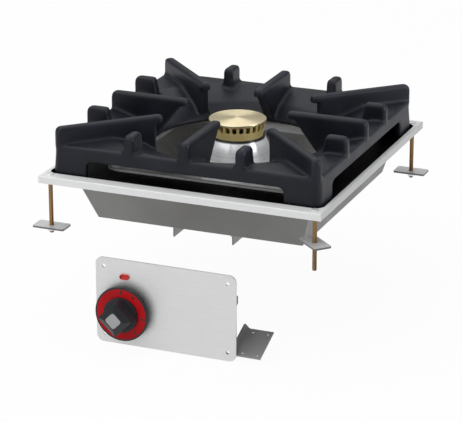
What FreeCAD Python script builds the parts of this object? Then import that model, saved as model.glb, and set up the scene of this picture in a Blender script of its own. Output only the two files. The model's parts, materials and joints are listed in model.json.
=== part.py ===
"""Drop-in single-burner gas hob and its separate control panel, at real size in millimetres.

The origin is the middle of the rim on the worktop plane, +X to the cook's right, +Y away from the cook
and +Z up.
Every size is a cell of the sheet "Sizes"; each piece is an object of the document bound to those cells.
"""
import FreeCAD
import Part
import Sketcher
import math
import os
import re

V = FreeCAD.Vector
ALONG = {"x": FreeCAD.Rotation(V(0, 1, 0), 90), "y": FreeCAD.Rotation(V(1, 0, 0), -90),
         "z": FreeCAD.Rotation()}
QUARTERS = (0, 90, 180, 270)
DIAGONAL = 45
NEAR = 0.5
CORNERS = {"front_left": (-1, -1), "front_right": (1, -1), "back_right": (1, 1), "back_left": (-1, 1)}

SIZES = {
    # rim, recess, well and spill basin
    "rim_band_side": 5.5, "rim_band_end": 18, "rim_height": 10, "rim_sheet": 1.5, "rim_fold": 1.4,
    "recess_gap": 3.5, "recess_depth": 6, "recess_corner": 12, "ledge_width": 59.5, "well_corner": 16,
    "well_lip": 8, "bead_width": 4, "bead_height": 3, "bead_round": 1.4, "basin_depth": 76,
    "basin_sheet": 1.2, "basin_flange": 9, "basin_side": 25.5, "basin_front": 29, "basin_back": 2.5,
    "slope_side": 21, "slope_front": 27.5, "slope_back": 2,
    # burner carrier under the basin
    "carrier_width": 88, "carrier_drop": 19, "carrier_sheet": 2, "carrier_back": 110,
    "carrier_setback": 15,
    # burner
    "burner_rise": 20, "tube_radius": 17, "tube_bore": 13, "tube_drop": 18, "collar_wall": 4,
    "collar_height": 8, "cup_radius": 34, "cup_bore": 31, "cup_depth": 9, "cup_flare": 24, "cup_wall": 2,
    "foot_radius": 30, "foot_thick": 4, "foot_screw_circle": 25, "foot_screw_radius": 2,
    "foot_screw_head": 3.6, "foot_screw_head_height": 2, "foot_screw_end": 4, "crown_radius": 38,
    "crown_foot": 35.4, "crown_bore": 33, "crown_height": 20, "crown_floor": 3, "crown_spigot": 5,
    "port_count": 24, "port_width": 6, "port_depth": 10, "cap_radius": 39.6, "cap_edge": 3,
    "cap_rise": 1.5, "cap_spigot": 3, "cap_round": 0.7, "loose_fit": 0.3, "shroud_top": 36.6,
    "shroud_shoulder": 43, "shroud_shoulder_drop": 12, "shroud_foot": 54, "shroud_sheet": 1.2,
    "shroud_round": 30, "shroud_gap": 0.4,
    # gas jet below the burner
    "shutter_length": 14, "shutter_wall": 1.6, "shutter_below": 6, "slide_fit": 0.08,
    "jet_bracket_drop": 34, "jet_bracket_half": 26, "jet_bracket_width": 24, "jet_bracket_tab": 10,
    "jet_bracket_sheet": 2, "jet_hex": 6, "jet_height": 10, "jet_collar": 5, "jet_shoulder": 7,
    "jet_thread": 4, "jet_tip": 2.2, "jet_bore": 0.8, "jet_shank": 5, "holder_radius": 10,
    "holder_height": 20, "inlet_radius": 7, "inlet_reach": 30, "inlet_bore": 4, "inlet_hex": 17,
    "inlet_hex_start": 6, "inlet_hex_length": 10, "still_fit": 0.05,
    # pilot flame behind the burner
    "pilot_angle": 112, "pilot_from_axis": 54, "pilot_spread": 22, "pilot_radius": 4.5, "pilot_rise": 24,
    "pilot_tail": 14, "pilot_hood": 8, "pilot_hood_radius": 5.5, "pilot_hood_tip": 3.5,
    "sensor_radius": 3, "sensor_rise": 28, "sensor_tip": 10, "sensor_step": 1, "pilot_plate_rise": 4,
    "pilot_plate_half": 20, "pilot_plate_inner": 46, "pilot_post": 70, "pilot_foot": 16, "pilot_sheet": 2,
    # clamps that pull the rim down on the worktop
    "stud_radius": 3, "stud_inset": 12, "stud_from_recess": 6, "stud_reach": 72, "stud_head": 5,
    "stud_head_height": 1.2, "stud_head_round": 0.7, "nut_flats": 10, "nut_height": 5, "nut_above_end": 3,
    "raised_clamp": 28, "raised_clamp_turn": -42, "plate_length": 46, "plate_width": 25,
    "plate_thick": 2.5, "plate_hole": 3.3,
    # cast pan support
    "support_width": 382, "support_draft": 4, "support_height": 68, "support_corner": 12,
    "support_foot_round": 5.5, "wall_height": 44, "wall_thick": 10, "arch_width": 280, "arch_height": 25,
    "arch_round": 7, "dish_radius": 118, "dish_low": 14, "dish_shelf": 140, "dish_shelf_height": 30,
    "dish_margin": 5, "web_thick": 7, "lip_thick": 5, "fin_thick": 14, "fin_round": 4, "fin_shoulder": 8,
    "fin_setback": 1.7, "long_fin_tip": 74, "corner_fin_tip": 111, "nose_reach": 11, "nose_height": 11,
    "short_fin_length": 30, "short_fin_offset": 79, "short_fin_foot": 6,
    # control panel
    "panel_x": -4, "panel_forward": 241, "panel_z": -140, "panel_width": 200, "panel_height": 120,
    "panel_sheet": 2, "panel_corner": 10, "panel_hole": 2.6, "panel_hole_inset": 12,
    "spindle_from_left": 42, "spindle_from_bottom": 48,
    # gas tap behind the panel
    "spindle_radius": 4, "spindle_in_tap": 20, "panel_spindle_hole": 5.5, "bonnet_width": 44,
    "bonnet_height": 28, "bonnet_thick": 6, "bonnet_corner": 10, "tap_radius": 13, "tap_length": 40,
    "pin_radius": 2, "pin_length": 14, "push_travel": 4, "push_spare": 1, "tap_screw_radius": 2,
    "tap_screw_half": 17, "tap_screw_head": 3.8, "tap_screw_head_height": 2.2, "magnet_radius": 9,
    "magnet_length": 26, "magnet_nut": 20, "magnet_nut_height": 7, "port_back": 20, "outlet_radius": 8,
    "outlet_reach": 36, "outlet_bore": 4, "outlet_hex": 19, "outlet_hex_drop": 22,
    "outlet_hex_height": 12, "inlet_boss": 7.5, "pipe_radius": 5, "pipe_bore_radius": 4, "pipe_above": 25,
    "pipe_bend": 9, "pipe_end": 84, "pipe_nut_flats": 17, "pipe_nut_length": 16,
    # folded bracket at the right edge of the panel
    "bracket_sheet": 2, "bracket_length": 35, "bracket_depth": 49, "bracket_slope": 21,
    "bracket_front_z": -192, "bracket_upright": 9, "bracket_lean": 6, "bracket_bend": 2,
    "bracket_tab_width": 34, "bracket_tab_height": 26, "bracket_hole": 1.6, "bracket_hole_inset": 6,
    "bracket_overlap": 2,
    # knob
    "dial_radius": 37.6, "dial_proud": 13, "dial_skirt": 6, "dial_wall": 2, "dial_ring_outer": 35.2,
    "dial_ring_inner": 24, "dial_ring_thick": 0.8, "grip_base_radius": 24, "grip_base": 4,
    "grip_height": 26, "grip_side": 36, "grip_front_side": 34, "grip_round": 4, "grip_turn": 45,
    "grip_flat_side": 20, "grip_facet": 5, "inlay_side": 17, "inlay_thick": 1.2, "inlay_round": 3.5,
    "hub_radius": 9, "hub_depth": 14,
    # how far a cutting tool runs past what it cuts
    "past": 1,
}

doc = FreeCAD.newDocument("drop_in_gas_hob")
sheet = doc.addObject("Spreadsheet::Sheet", "Sizes")
for row, (alias, number) in enumerate(SIZES.items(), start=1):
    sheet.set("A%d" % row, alias)
    sheet.set("B%d" % row, str(number))
    sheet.setAlias("B%d" % row, alias)
doc.recompute()
pieces = {}


# Binding

def tied(text):
    """Return an expression in which each size name points at its cell."""
    def point(word):
        name = word.group()
        return "Sizes." + name if name in SIZES else name
    return re.sub(r"[a-z][a-z_0-9]*", point, text)


def size(text):
    """Return the number that an expression in size names has now."""
    return float(sheet.evalExpression(tied(text)))


def bind(thing, **properties):
    """Bind properties of an object to expressions in size names."""
    for name, text in properties.items():
        thing.setExpression(name, tied(text))
    return thing


def place(thing, x="0", y="0", z="0", rotation=FreeCAD.Rotation()):
    """Turn an object by a fixed rotation and bind its position."""
    thing.Placement = FreeCAD.Placement(V(), rotation)
    for axis, text in zip("xyz", (x, y, z)):
        thing.setExpression("Placement.Base." + axis, tied(text))
    return thing


def piece(node, thing):
    """Give a finished sub-part the label that names its file."""
    thing.Label = node
    pieces[node] = thing
    return thing


# Solids

def block(name, low, high):
    """Box between two corners, each three expressions."""
    box = doc.addObject("Part::Box", name)
    for prop, start, end in zip(("Length", "Width", "Height"), low, high):
        bind(box, **{prop: "(%s) - (%s)" % (end, start)})
    return place(box, *low)


def cylinder(name, radius, length, x="0", y="0", z="0", along="z"):
    rod = bind(doc.addObject("Part::Cylinder", name), Radius=radius, Height=length)
    return place(rod, x, y, z, ALONG[along])


def hexagon(name, flats, height, x, y, z, along="z"):
    nut = doc.addObject("Part::Prism", name)
    nut.Polygon = 6
    bind(nut, Circumradius="(%s) / sqrt(3)" % flats, Height=height)
    return place(nut, x, y, z, ALONG[along])


def frustum(name, bottom, top, low, high):
    """Block with sloping sides; bottom and top are each (left, right, front, back) in expressions."""
    wedge = doc.addObject("Part::Wedge", name)
    left, right, front, back = bottom
    bind(wedge, Xmin=left, Xmax=right, Zmin="-(%s)" % back, Zmax="-(%s)" % front, Ymin=low, Ymax=high)
    left, right, front, back = top
    bind(wedge, X2min=left, X2max=right, Z2min="-(%s)" % back, Z2max="-(%s)" % front)
    wedge.Placement = FreeCAD.Placement(V(), FreeCAD.Rotation(V(1, 0, 0), 90))
    return wedge


def fuse(name, *things):
    joined = doc.addObject("Part::MultiFuse", name)
    joined.Shapes = list(things)
    return joined


def cut(name, base, *tools):
    rest = doc.addObject("Part::Cut", name)
    rest.Base = base
    rest.Tool = tools[0] if len(tools) == 1 else fuse(name + "_tools", *tools)
    return rest


def group(name, *things):
    several = doc.addObject("Part::Compound", name)
    several.Links = list(things)
    return several


def edges_where(shape, test):
    """Return the numbers of the edges whose middle point and direction pass a test."""
    found = []
    for number, edge in enumerate(shape.Edges, start=1):
        if edge.Degenerated:
            continue
        middle = edge.valueAt((edge.FirstParameter + edge.LastParameter) / 2)
        along = edge.tangentAt((edge.FirstParameter + edge.LastParameter) / 2)
        if test(middle, along):
            found.append(number)
    return found


def rounded(name, base, radius, test):
    """Fillet the edges of a Part object that pass a test."""
    doc.recompute()
    fillet = doc.addObject("Part::Fillet", name)
    fillet.Base = base
    fillet.Edges = [(number, size(radius), size(radius)) for number in edges_where(base.Shape, test)]
    return fillet


def upright(middle, along):
    return abs(along.z) > 0.9


# Bodies

def new_body(name):
    return doc.addObject("PartDesign::Body", name)


def blank_sketch(body, name, plane, offset="0"):
    """Empty sketch on one of a body's origin planes."""
    sketch = body.newObject("Sketcher::SketchObject", name)
    sketch.AttachmentSupport = [(next(f for f in body.Origin.OriginFeatures if f.Role == plane), "")]
    sketch.MapMode = "FlatFace"
    sketch.setExpression("AttachmentOffset.Base.z", tied(offset))
    return sketch


def dimension(sketch, text, *what):
    """Add a dimension to a sketch and bind it to an expression."""
    number = sketch.addConstraint(Sketcher.Constraint(*what, size(text)))
    sketch.setExpression("Constraints[%d]" % number, tied(text))


def outline(body, name, plane, corners, offset="0"):
    """Closed straight-sided sketch on an origin plane; both coordinates of every corner are bound."""
    sketch = blank_sketch(body, name, plane, offset)
    points = [V(size(u), size(v), 0) for u, v in corners]
    count = len(points)
    for i, point in enumerate(points):
        sketch.addGeometry(Part.LineSegment(point, points[(i + 1) % count]))
    for i in range(count):
        sketch.addConstraint(Sketcher.Constraint("Coincident", i, 2, (i + 1) % count, 1))
    for i, (u, v) in enumerate(corners):
        dimension(sketch, u, "DistanceX", -1, 1, i, 1)
        dimension(sketch, v, "DistanceY", -1, 1, i, 1)
    return sketch


def feature(body, kind, name, profile, **properties):
    """Add a sketch-based feature to a body and make it the tip."""
    added = body.newObject("PartDesign::" + kind, name)
    added.Profile = profile
    bind(added, **properties)
    body.Tip = added
    return added


def pad(body, name, plane, corners, length, offset="0", symmetric=False):
    sketch = outline(body, name + "_sketch", plane, corners, offset)
    added = feature(body, "Pad", name, sketch, Length=length)
    if symmetric:
        added.SideType = "Symmetric"
    return added


def soften(body, name, radius, test):
    """Fillet the edges of a body's tip that pass a test."""
    doc.recompute()
    base = body.Tip
    numbers = edges_where(base.Shape, test)
    added = body.newObject("PartDesign::Fillet", name)
    added.Base = (base, ["Edge%d" % number for number in numbers])
    bind(added, Radius=radius)
    body.Tip = added
    return added


def turned(name, corners, z="0", x="0", y="0", rotation=FreeCAD.Rotation()):
    """Solid of revolution about its own Z axis; corners are (radius, height) in expressions."""
    body = new_body(name)
    profile = outline(body, name + "_profile", "XZ_Plane", corners)
    added = feature(body, "Revolution", name + "_turn", profile)
    added.ReferenceAxis = (profile, ["V_Axis"])
    added.Angle = 360
    return place(body, x, y, z, rotation)


def rectangle(width, height):
    half_width, half_height = "(%s) / 2" % width, "(%s) / 2" % height
    return [("-" + half_width, "-" + half_height), (half_width, "-" + half_height),
            (half_width, half_height), ("-" + half_width, half_height)]


# Heights and places that several pieces share
RECESS = "(support_width / 2 + recess_gap)"
RIM_X = "(support_width / 2 + recess_gap + rim_band_side)"
RIM_Y = "(support_width / 2 + recess_gap + rim_band_end)"
WELL = "(support_width / 2 + recess_gap - ledge_width)"
BASIN_X = "(support_width / 2 + recess_gap - basin_side)"
BASIN_FRONT = "(support_width / 2 + recess_gap - basin_front)"
BASIN_BACK = "(support_width / 2 + recess_gap - basin_back)"
FLOOR_X = "(support_width / 2 + recess_gap - basin_side - slope_side)"
FLOOR_FRONT = "(support_width / 2 + recess_gap - basin_front - slope_front)"
FLOOR_BACK = "(support_width / 2 + recess_gap - basin_back - slope_back)"
RIM_UNDER = "rim_height - rim_sheet"
LEDGE = "rim_height - recess_depth"
LEDGE_UNDER = "rim_height - recess_depth - rim_sheet"
FLOOR_UNDER = "rim_height - basin_depth"
FLOOR_TOP = "rim_height - basin_depth + basin_sheet"
WEB_UNDER = "rim_height - basin_depth - carrier_sheet"
CROWN_SEAT = "rim_height + burner_rise"
CUP_NECK = "rim_height + burner_rise - cup_flare"
TUBE_END = "rim_height - basin_depth - tube_drop"
JET_PLATE = "rim_height - basin_depth - jet_bracket_drop"
INLET_Z = "rim_height - basin_depth - jet_bracket_drop - holder_height / 2"
PANEL_BACK = "-panel_forward + panel_sheet"
BONNET_BACK = "-panel_forward + panel_sheet + bonnet_thick"
TAP_BACK = "-panel_forward + panel_sheet + bonnet_thick + tap_length"
SPINDLE_X = "panel_x - panel_width / 2 + spindle_from_left"
SPINDLE_Z = "panel_z - panel_height / 2 + spindle_from_bottom"
TAP_PORT_Y = "-panel_forward + panel_sheet + bonnet_thick + port_back"


def stud_place(corner):
    """Position of a clamp stud as two expressions."""
    side, end = CORNERS[corner]
    return "%d * (%s - stud_inset)" % (side, RIM_X), "%d * (%s + stud_from_recess)" % (end, RECESS)


# Rim, basin and clamps

def square_block(name, half, low, high, corner):
    """Square block about the burner's axis with rounded upright edges."""
    box = block(name, ("-(%s)" % half, "-(%s)" % half, low), (half, half, high))
    return rounded(name + "_round", box, corner, upright)


def make_rim():
    """Drawn stainless top: rim with a skirt, recess for the pan support, and well with a rolled edge."""
    over, gauge = "rim_height + past", "rim_sheet"
    outside = block("rim_block", ("-" + RIM_X, "-" + RIM_Y, "0"), (RIM_X, RIM_Y, "rim_height"))
    half_height = size("rim_height / 2")
    folded = rounded("rim_folded", outside, "rim_fold", lambda middle, along: middle.z > half_height)
    inside = block("rim_inside", ("-%s + %s" % (RIM_X, gauge), "-%s + %s" % (RIM_Y, gauge), "-past"),
                   ("%s - %s" % (RIM_X, gauge), "%s - %s" % (RIM_Y, gauge), RIM_UNDER))
    pressing = square_block("recess_pressing", RECESS + " + rim_sheet", LEDGE_UNDER, RIM_UNDER,
                            "recess_corner + rim_sheet")
    recess = square_block("recess_hollow", RECESS, LEDGE, over, "recess_corner")
    drawn = cut("rim_drawn", fuse("rim_pressed", cut("rim_sheet_top", folded, inside), pressing), recess)
    lip = square_block("well_lip_block", WELL + " + rim_sheet", LEDGE_UNDER + " - well_lip", LEDGE_UNDER,
                       "well_corner + rim_sheet")
    bead = square_block("well_bead", WELL + " + bead_width", LEDGE, LEDGE + " + bead_height",
                        "well_corner + bead_width")
    well = square_block("well_hollow", WELL, LEDGE_UNDER + " - well_lip - past", over, "well_corner")
    holes = [cylinder("rim_hole_" + corner, "stud_radius + still_fit", over, *stud_place(corner))
             for corner in CORNERS]
    sharp = cut("rim_sharp", fuse("rim_beaded", drawn, lip, bead), well, *holes)
    bead_top = size(LEDGE + " + bead_height")
    rim = rounded("rim", sharp, "bead_round", lambda middle, along: abs(middle.z - bead_top) < NEAR)
    piece("rim_frame", rim)


def make_basin():
    """Folded spill basin: flange under the ledge, sloping walls, flat floor with the burner hole."""
    wall, reach = "basin_sheet", "basin_flange"
    inner_floor = ("-%s + %s" % (FLOOR_X, wall), "%s - %s" % (FLOOR_X, wall),
                   "-%s + %s" % (FLOOR_FRONT, wall), "%s - %s" % (FLOOR_BACK, wall))
    outer_floor = ("-" + FLOOR_X, FLOOR_X, "-" + FLOOR_FRONT, FLOOR_BACK)
    inner_top = ("-" + BASIN_X, BASIN_X, "-" + BASIN_FRONT, BASIN_BACK)
    outer_top = ("-%s - %s" % (BASIN_X, wall), "%s + %s" % (BASIN_X, wall),
                 "-%s - %s" % (BASIN_FRONT, wall), "%s + %s" % (BASIN_BACK, wall))
    shell = frustum("basin_outside", outer_floor, outer_top, FLOOR_UNDER, LEDGE_UNDER)
    hollow = frustum("basin_inside", inner_floor, inner_top, FLOOR_TOP, LEDGE_UNDER)
    left_front = ("-%s - %s" % (BASIN_X, reach), "-%s - %s" % (BASIN_FRONT, reach))
    right_back = ("%s + %s" % (BASIN_X, reach), "%s + %s" % (BASIN_BACK, wall))
    flange_under = LEDGE_UNDER + " - " + wall
    flange = block("basin_flange_sheet", (*left_front, flange_under), (*right_back, LEDGE_UNDER))
    mouth = block("basin_mouth", ("-" + BASIN_X, "-" + BASIN_FRONT, "0"),
                  (BASIN_X, BASIN_BACK, "rim_height"))
    low, depth = FLOOR_UNDER + " - past", "basin_sheet + 2 * past"
    hole = cylinder("basin_burner_hole", "tube_radius + loose_fit", depth, z=low)
    screws = foot_screw_rods("basin_screw_hole", "foot_screw_radius", low, depth)
    tray = cut("basin_tray", fuse("basin_sheets", shell, flange), hollow, mouth, hole)
    piece("spill_basin", cut("basin", tray, *screws))


def foot_screw_rods(name, radius, low, height):
    """Four upright rods on the burner foot's screw circle."""
    reach = "foot_screw_circle / sqrt(2)"
    return [cylinder("%s_%s" % (name, corner), radius, height, "%d * %s" % (side, reach),
                     "%d * %s" % (end, reach), low) for corner, (side, end) in CORNERS.items()]


def make_clamps():
    """Four long screws through the rim, each with a nut and a swivelling clamp plate."""
    studs = []
    for corner in CORNERS:
        x, y = stud_place(corner)
        shank = cylinder("stud_shank_" + corner, "stud_radius", "rim_height + stud_reach", x, y,
                         "-stud_reach")
        head = cylinder("stud_head_" + corner, "stud_head", "stud_head_height", x, y, "rim_height")
        head_middle = size("rim_height + stud_head_height / 2")
        dome = rounded("stud_dome_" + corner, head, "stud_head_round",
                       lambda middle, along: middle.z > head_middle and abs(along.z) < NEAR)
        studs.append(fuse("stud_" + corner, shank, dome))
    piece("clamp_studs", group("studs", *studs))
    for corner in CORNERS:
        x, y = stud_place(corner)
        raised = "raised_clamp" if corner == "front_right" else "0"
        low = "-stud_reach + nut_above_end + " + raised
        nut = hexagon("nut_" + corner, "nut_flats", "nut_height", x, y, low)
        bore = cylinder("nut_bore_" + corner, "stud_radius + still_fit", "nut_height + 2 * past", x, y,
                        low + " - past")
        piece("clamp_nut_" + corner, cut("clamp_nut_cut_" + corner, nut, bore))
        make_clamp_plate(corner, x, y, low + " + nut_height")


def make_clamp_plate(corner, x, y, low):
    """Flat clamp plate with a hole in its middle, turned about its stud."""
    body = new_body("plate_body_" + corner)
    pad(body, "plate_pad_" + corner, "XY_Plane", rectangle("plate_length", "plate_width"), "plate_thick")
    soften(body, "plate_corners_" + corner, "plate_thick", upright)
    drill = cylinder("plate_drill_" + corner, "plate_hole", "plate_thick + 2 * past", z="-past")
    plate = cut("plate_" + corner, body, drill)
    turn = "raised_clamp_turn" if corner == "front_right" else "0"
    place(plate, x, y, low, FreeCAD.Rotation(V(0, 0, 1), 1))
    bind(plate, **{"Placement.Rotation.Angle": turn})
    piece("clamp_plate_" + corner, plate)


# Burner

def make_carrier():
    """Channel under the basin floor that carries the burner; its two flanges hang down."""
    half, gauge, front = "carrier_width / 2", "carrier_sheet", "-%s + carrier_setback" % FLOOR_FRONT
    web = block("carrier_web", ("-" + half, front, WEB_UNDER), (half, "carrier_back", FLOOR_UNDER))
    flanges = []
    for name, start, end in (("left", "-" + half, "-%s + %s" % (half, gauge)),
                             ("right", "%s - %s" % (half, gauge), half)):
        flanges.append(block("carrier_flange_" + name, (start, front, FLOOR_UNDER + " - carrier_drop"),
                             (end, "carrier_back", WEB_UNDER)))
    low, depth = WEB_UNDER + " - past", "carrier_sheet + 2 * past"
    hole = cylinder("carrier_hole", "tube_radius + loose_fit", depth, z=low)
    screws = foot_screw_rods("carrier_screw_hole", "foot_screw_radius", low, depth)
    piece("burner_carrier", cut("carrier", fuse("carrier_channel", web, *flanges), hole, *screws))


def make_burner():
    """Mixing tube, the foot that holds it on the basin floor, and the cup that carries the crown."""
    collar, fit = "tube_radius + collar_wall", "tube_radius + still_fit"
    piece("mixing_tube", turned("tube_body", [("tube_bore", TUBE_END), ("tube_radius", TUBE_END),
                                              ("tube_radius", CUP_NECK), ("tube_bore", CUP_NECK)]))
    flange_top, collar_top = FLOOR_TOP + " + foot_thick", FLOOR_TOP + " + foot_thick + collar_height"
    foot = turned("foot_body", [(fit, FLOOR_TOP), ("foot_radius", FLOOR_TOP), ("foot_radius", flange_top),
                                (collar, flange_top), (collar, collar_top), (fit, collar_top)])
    drills = foot_screw_rods("foot_hole", "foot_screw_radius", FLOOR_TOP + " - past",
                             "foot_thick + 2 * past")
    piece("burner_foot", cut("foot_drilled", foot, *drills))
    cup_floor, low = CROWN_SEAT + " - cup_depth", CUP_NECK + " - collar_height"
    piece("burner_cup", turned("cup_body", [
        (fit, low), (collar, low), (collar, CUP_NECK), ("cup_radius", cup_floor),
        ("cup_radius", CROWN_SEAT), ("cup_bore", CROWN_SEAT), ("cup_bore", cup_floor + " + cup_wall"),
        ("tube_bore", CUP_NECK + " + cup_wall"), ("tube_bore", CUP_NECK), (fit, CUP_NECK)]))
    shanks = foot_screw_rods("foot_screw", "foot_screw_radius - still_fit", WEB_UNDER + " - foot_screw_end",
                             "basin_sheet + carrier_sheet + foot_thick + foot_screw_end")
    heads = foot_screw_rods("foot_screw_head", "foot_screw_head", flange_top, "foot_screw_head_height")
    screws = [fuse("foot_screw_whole_" + corner, shank, head)
              for corner, shank, head in zip(CORNERS, shanks, heads)]
    piece("burner_screws", group("foot_screws", *screws))


def slot_sketch(body, name, half, low, high):
    """Upright slot with a round lower end, as an end mill leaves it."""
    sketch = blank_sketch(body, name, "XZ_Plane")
    side, top, middle = size(half), size(high), size("%s + %s" % (low, half))
    sketch.addGeometry(Part.LineSegment(V(-side, top, 0), V(-side, middle, 0)))
    end = Part.Circle(V(0, middle, 0), V(0, 0, 1), side)
    sketch.addGeometry(Part.ArcOfCircle(end, math.pi, 2 * math.pi))
    sketch.addGeometry(Part.LineSegment(V(side, middle, 0), V(side, top, 0)))
    sketch.addGeometry(Part.LineSegment(V(side, top, 0), V(-side, top, 0)))
    sketch.addConstraint(Sketcher.Constraint("Tangent", 0, 2, 1, 1))
    sketch.addConstraint(Sketcher.Constraint("Tangent", 1, 2, 2, 1))
    sketch.addConstraint(Sketcher.Constraint("Coincident", 2, 2, 3, 1))
    sketch.addConstraint(Sketcher.Constraint("Coincident", 3, 2, 0, 1))
    sketch.addConstraint(Sketcher.Constraint("Horizontal", 3))
    sketch.addConstraint(Sketcher.Constraint("PointOnObject", 1, 3, -2))
    dimension(sketch, half, "Radius", 1)
    dimension(sketch, "%s + %s" % (low, half), "DistanceY", -1, 1, 1, 3)
    dimension(sketch, "-(%s)" % half, "DistanceX", -1, 1, 0, 1)
    dimension(sketch, high, "DistanceY", -1, 1, 0, 1)
    return sketch


def make_crown_and_cap():
    """Brass crown with milled flame ports open at its top, and the turned lid that closes them."""
    plug, spigot = "cup_bore - loose_fit", "cup_bore - loose_fit - crown_floor"
    body = turned("crown_body", [
        (spigot, "-crown_spigot"), (plug, "-crown_spigot"), (plug, "0"), ("crown_foot", "0"),
        ("crown_radius", "crown_height"), ("crown_bore", "crown_height"), ("crown_bore", "crown_floor"),
        (spigot, "crown_floor")], z=CROWN_SEAT)
    sketch = slot_sketch(body, "port_sketch", "port_width / 2", "crown_height - port_depth",
                         "crown_height + past")
    port = feature(body, "Pocket", "port", sketch, Length="crown_radius + past")
    pattern = body.newObject("PartDesign::PolarPattern", "ports")
    pattern.Originals = [port]
    pattern.Axis = (sketch, ["V_Axis"])
    pattern.Angle = 360
    bind(pattern, Occurrences="port_count")
    body.Tip = pattern
    piece("burner_crown", body)
    plug = "crown_bore - loose_fit"
    lid = turned("cap_body", [("0", "-cap_spigot"), (plug, "-cap_spigot"), (plug, "0"), ("cap_radius", "0"),
                              ("cap_radius", "cap_edge"), ("0", "cap_edge + cap_rise")],
                 z=CROWN_SEAT + " + crown_height")
    rim = size("cap_radius") - NEAR
    soften(lid, "cap_edges", "cap_round",
           lambda middle, along: math.hypot(middle.x, middle.y) > rim and abs(along.z) < NEAR)
    piece("burner_cap", lid)


def make_shroud():
    """Polished bell-shaped shroud from the basin floor up to the crown."""
    high, shoulder = CROWN_SEAT + " - shroud_gap", CROWN_SEAT + " - shroud_shoulder_drop"
    wall = " - shroud_sheet"
    bell = turned("shroud_bell", [
        ("shroud_foot" + wall, FLOOR_TOP), ("shroud_foot", FLOOR_TOP), ("shroud_shoulder", shoulder),
        ("shroud_top", high), ("shroud_top" + wall, high), ("shroud_shoulder" + wall, shoulder)])
    height = size(shoulder)
    soften(bell, "shroud_soft", "shroud_round",
           lambda middle, along: abs(middle.z - height) < NEAR and abs(along.z) < NEAR)
    piece("burner_shroud", bell)


def make_jet():
    """Gas jet below the mixing tube: strap, jet, holder with its gas inlet, and the sliding air shutter."""
    half, gauge = "jet_bracket_half", "jet_bracket_sheet"
    tab_under, plate_top = "%s - %s" % (WEB_UNDER, gauge), "%s + %s" % (JET_PLATE, gauge)
    tab_end, inner = "%s + jet_bracket_tab" % half, "%s - %s" % (half, gauge)
    right = [(half, JET_PLATE), (half, tab_under), (tab_end, tab_under), (tab_end, WEB_UNDER),
             (inner, WEB_UNDER), (inner, plate_top)]
    left = [("-(%s)" % x, z) for x, z in reversed(right)]
    body = new_body("jet_strap")
    pad(body, "jet_strap_pad", "XZ_Plane", right + left, "jet_bracket_width", symmetric=True)
    hole = cylinder("jet_strap_hole", "jet_thread + still_fit", gauge + " + 2 * past",
                    z=JET_PLATE + " - past")
    piece("jet_bracket", cut("jet_strap_drilled", body, hole))
    base = gauge
    piece("injector", turned("jet", [
        ("jet_bore", "-jet_shank"), ("jet_thread", "-jet_shank"), ("jet_thread", base), ("jet_hex", base),
        ("jet_hex", base + " + jet_collar"), ("jet_thread", base + " + jet_shoulder"),
        ("jet_tip", base + " + jet_height"), ("jet_bore", base + " + jet_height")], z=JET_PLATE))
    drum = cylinder("holder_drum", "holder_radius", "holder_height", z=JET_PLATE + " - holder_height")
    inlet = cylinder("holder_inlet", "inlet_radius", "inlet_reach", z=INLET_Z, along="y")
    collar = hexagon("holder_hex", "inlet_hex", "inlet_hex_length", "0", "inlet_hex_start", INLET_Z, "y")
    thread = cylinder("holder_thread", "jet_thread + still_fit", "jet_shank + past",
                      z=JET_PLATE + " - jet_shank")
    gas_way = cylinder("holder_gas_way", "inlet_bore", "inlet_reach + past", z=INLET_Z, along="y")
    rise = cylinder("holder_gas_rise", "jet_bore", "holder_height / 2", z=INLET_Z)
    solid = fuse("holder_solid", drum, inlet, collar)
    piece("injector_holder", cut("holder", solid, thread, gas_way, rise))
    low = TUBE_END + " - shutter_below"
    sleeve = cylinder("shutter_sleeve", "tube_radius + slide_fit + shutter_wall", "shutter_length", z=low)
    bore = cylinder("shutter_bore", "tube_radius + slide_fit", "shutter_length + 2 * past",
                    z=low + " - past")
    piece("air_shutter", cut("shutter", sleeve, bore))


def collared(radius):
    """Lower half of a rod's profile: a tail below the bracket and a collar that rests on it."""
    collar = radius + " + pilot_sheet"
    return [("0", "-pilot_tail"), (radius, "-pilot_tail"), (radius, "0"), (collar, "0"),
            (collar, "2 * pilot_sheet"), (radius, "2 * pilot_sheet")]


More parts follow.
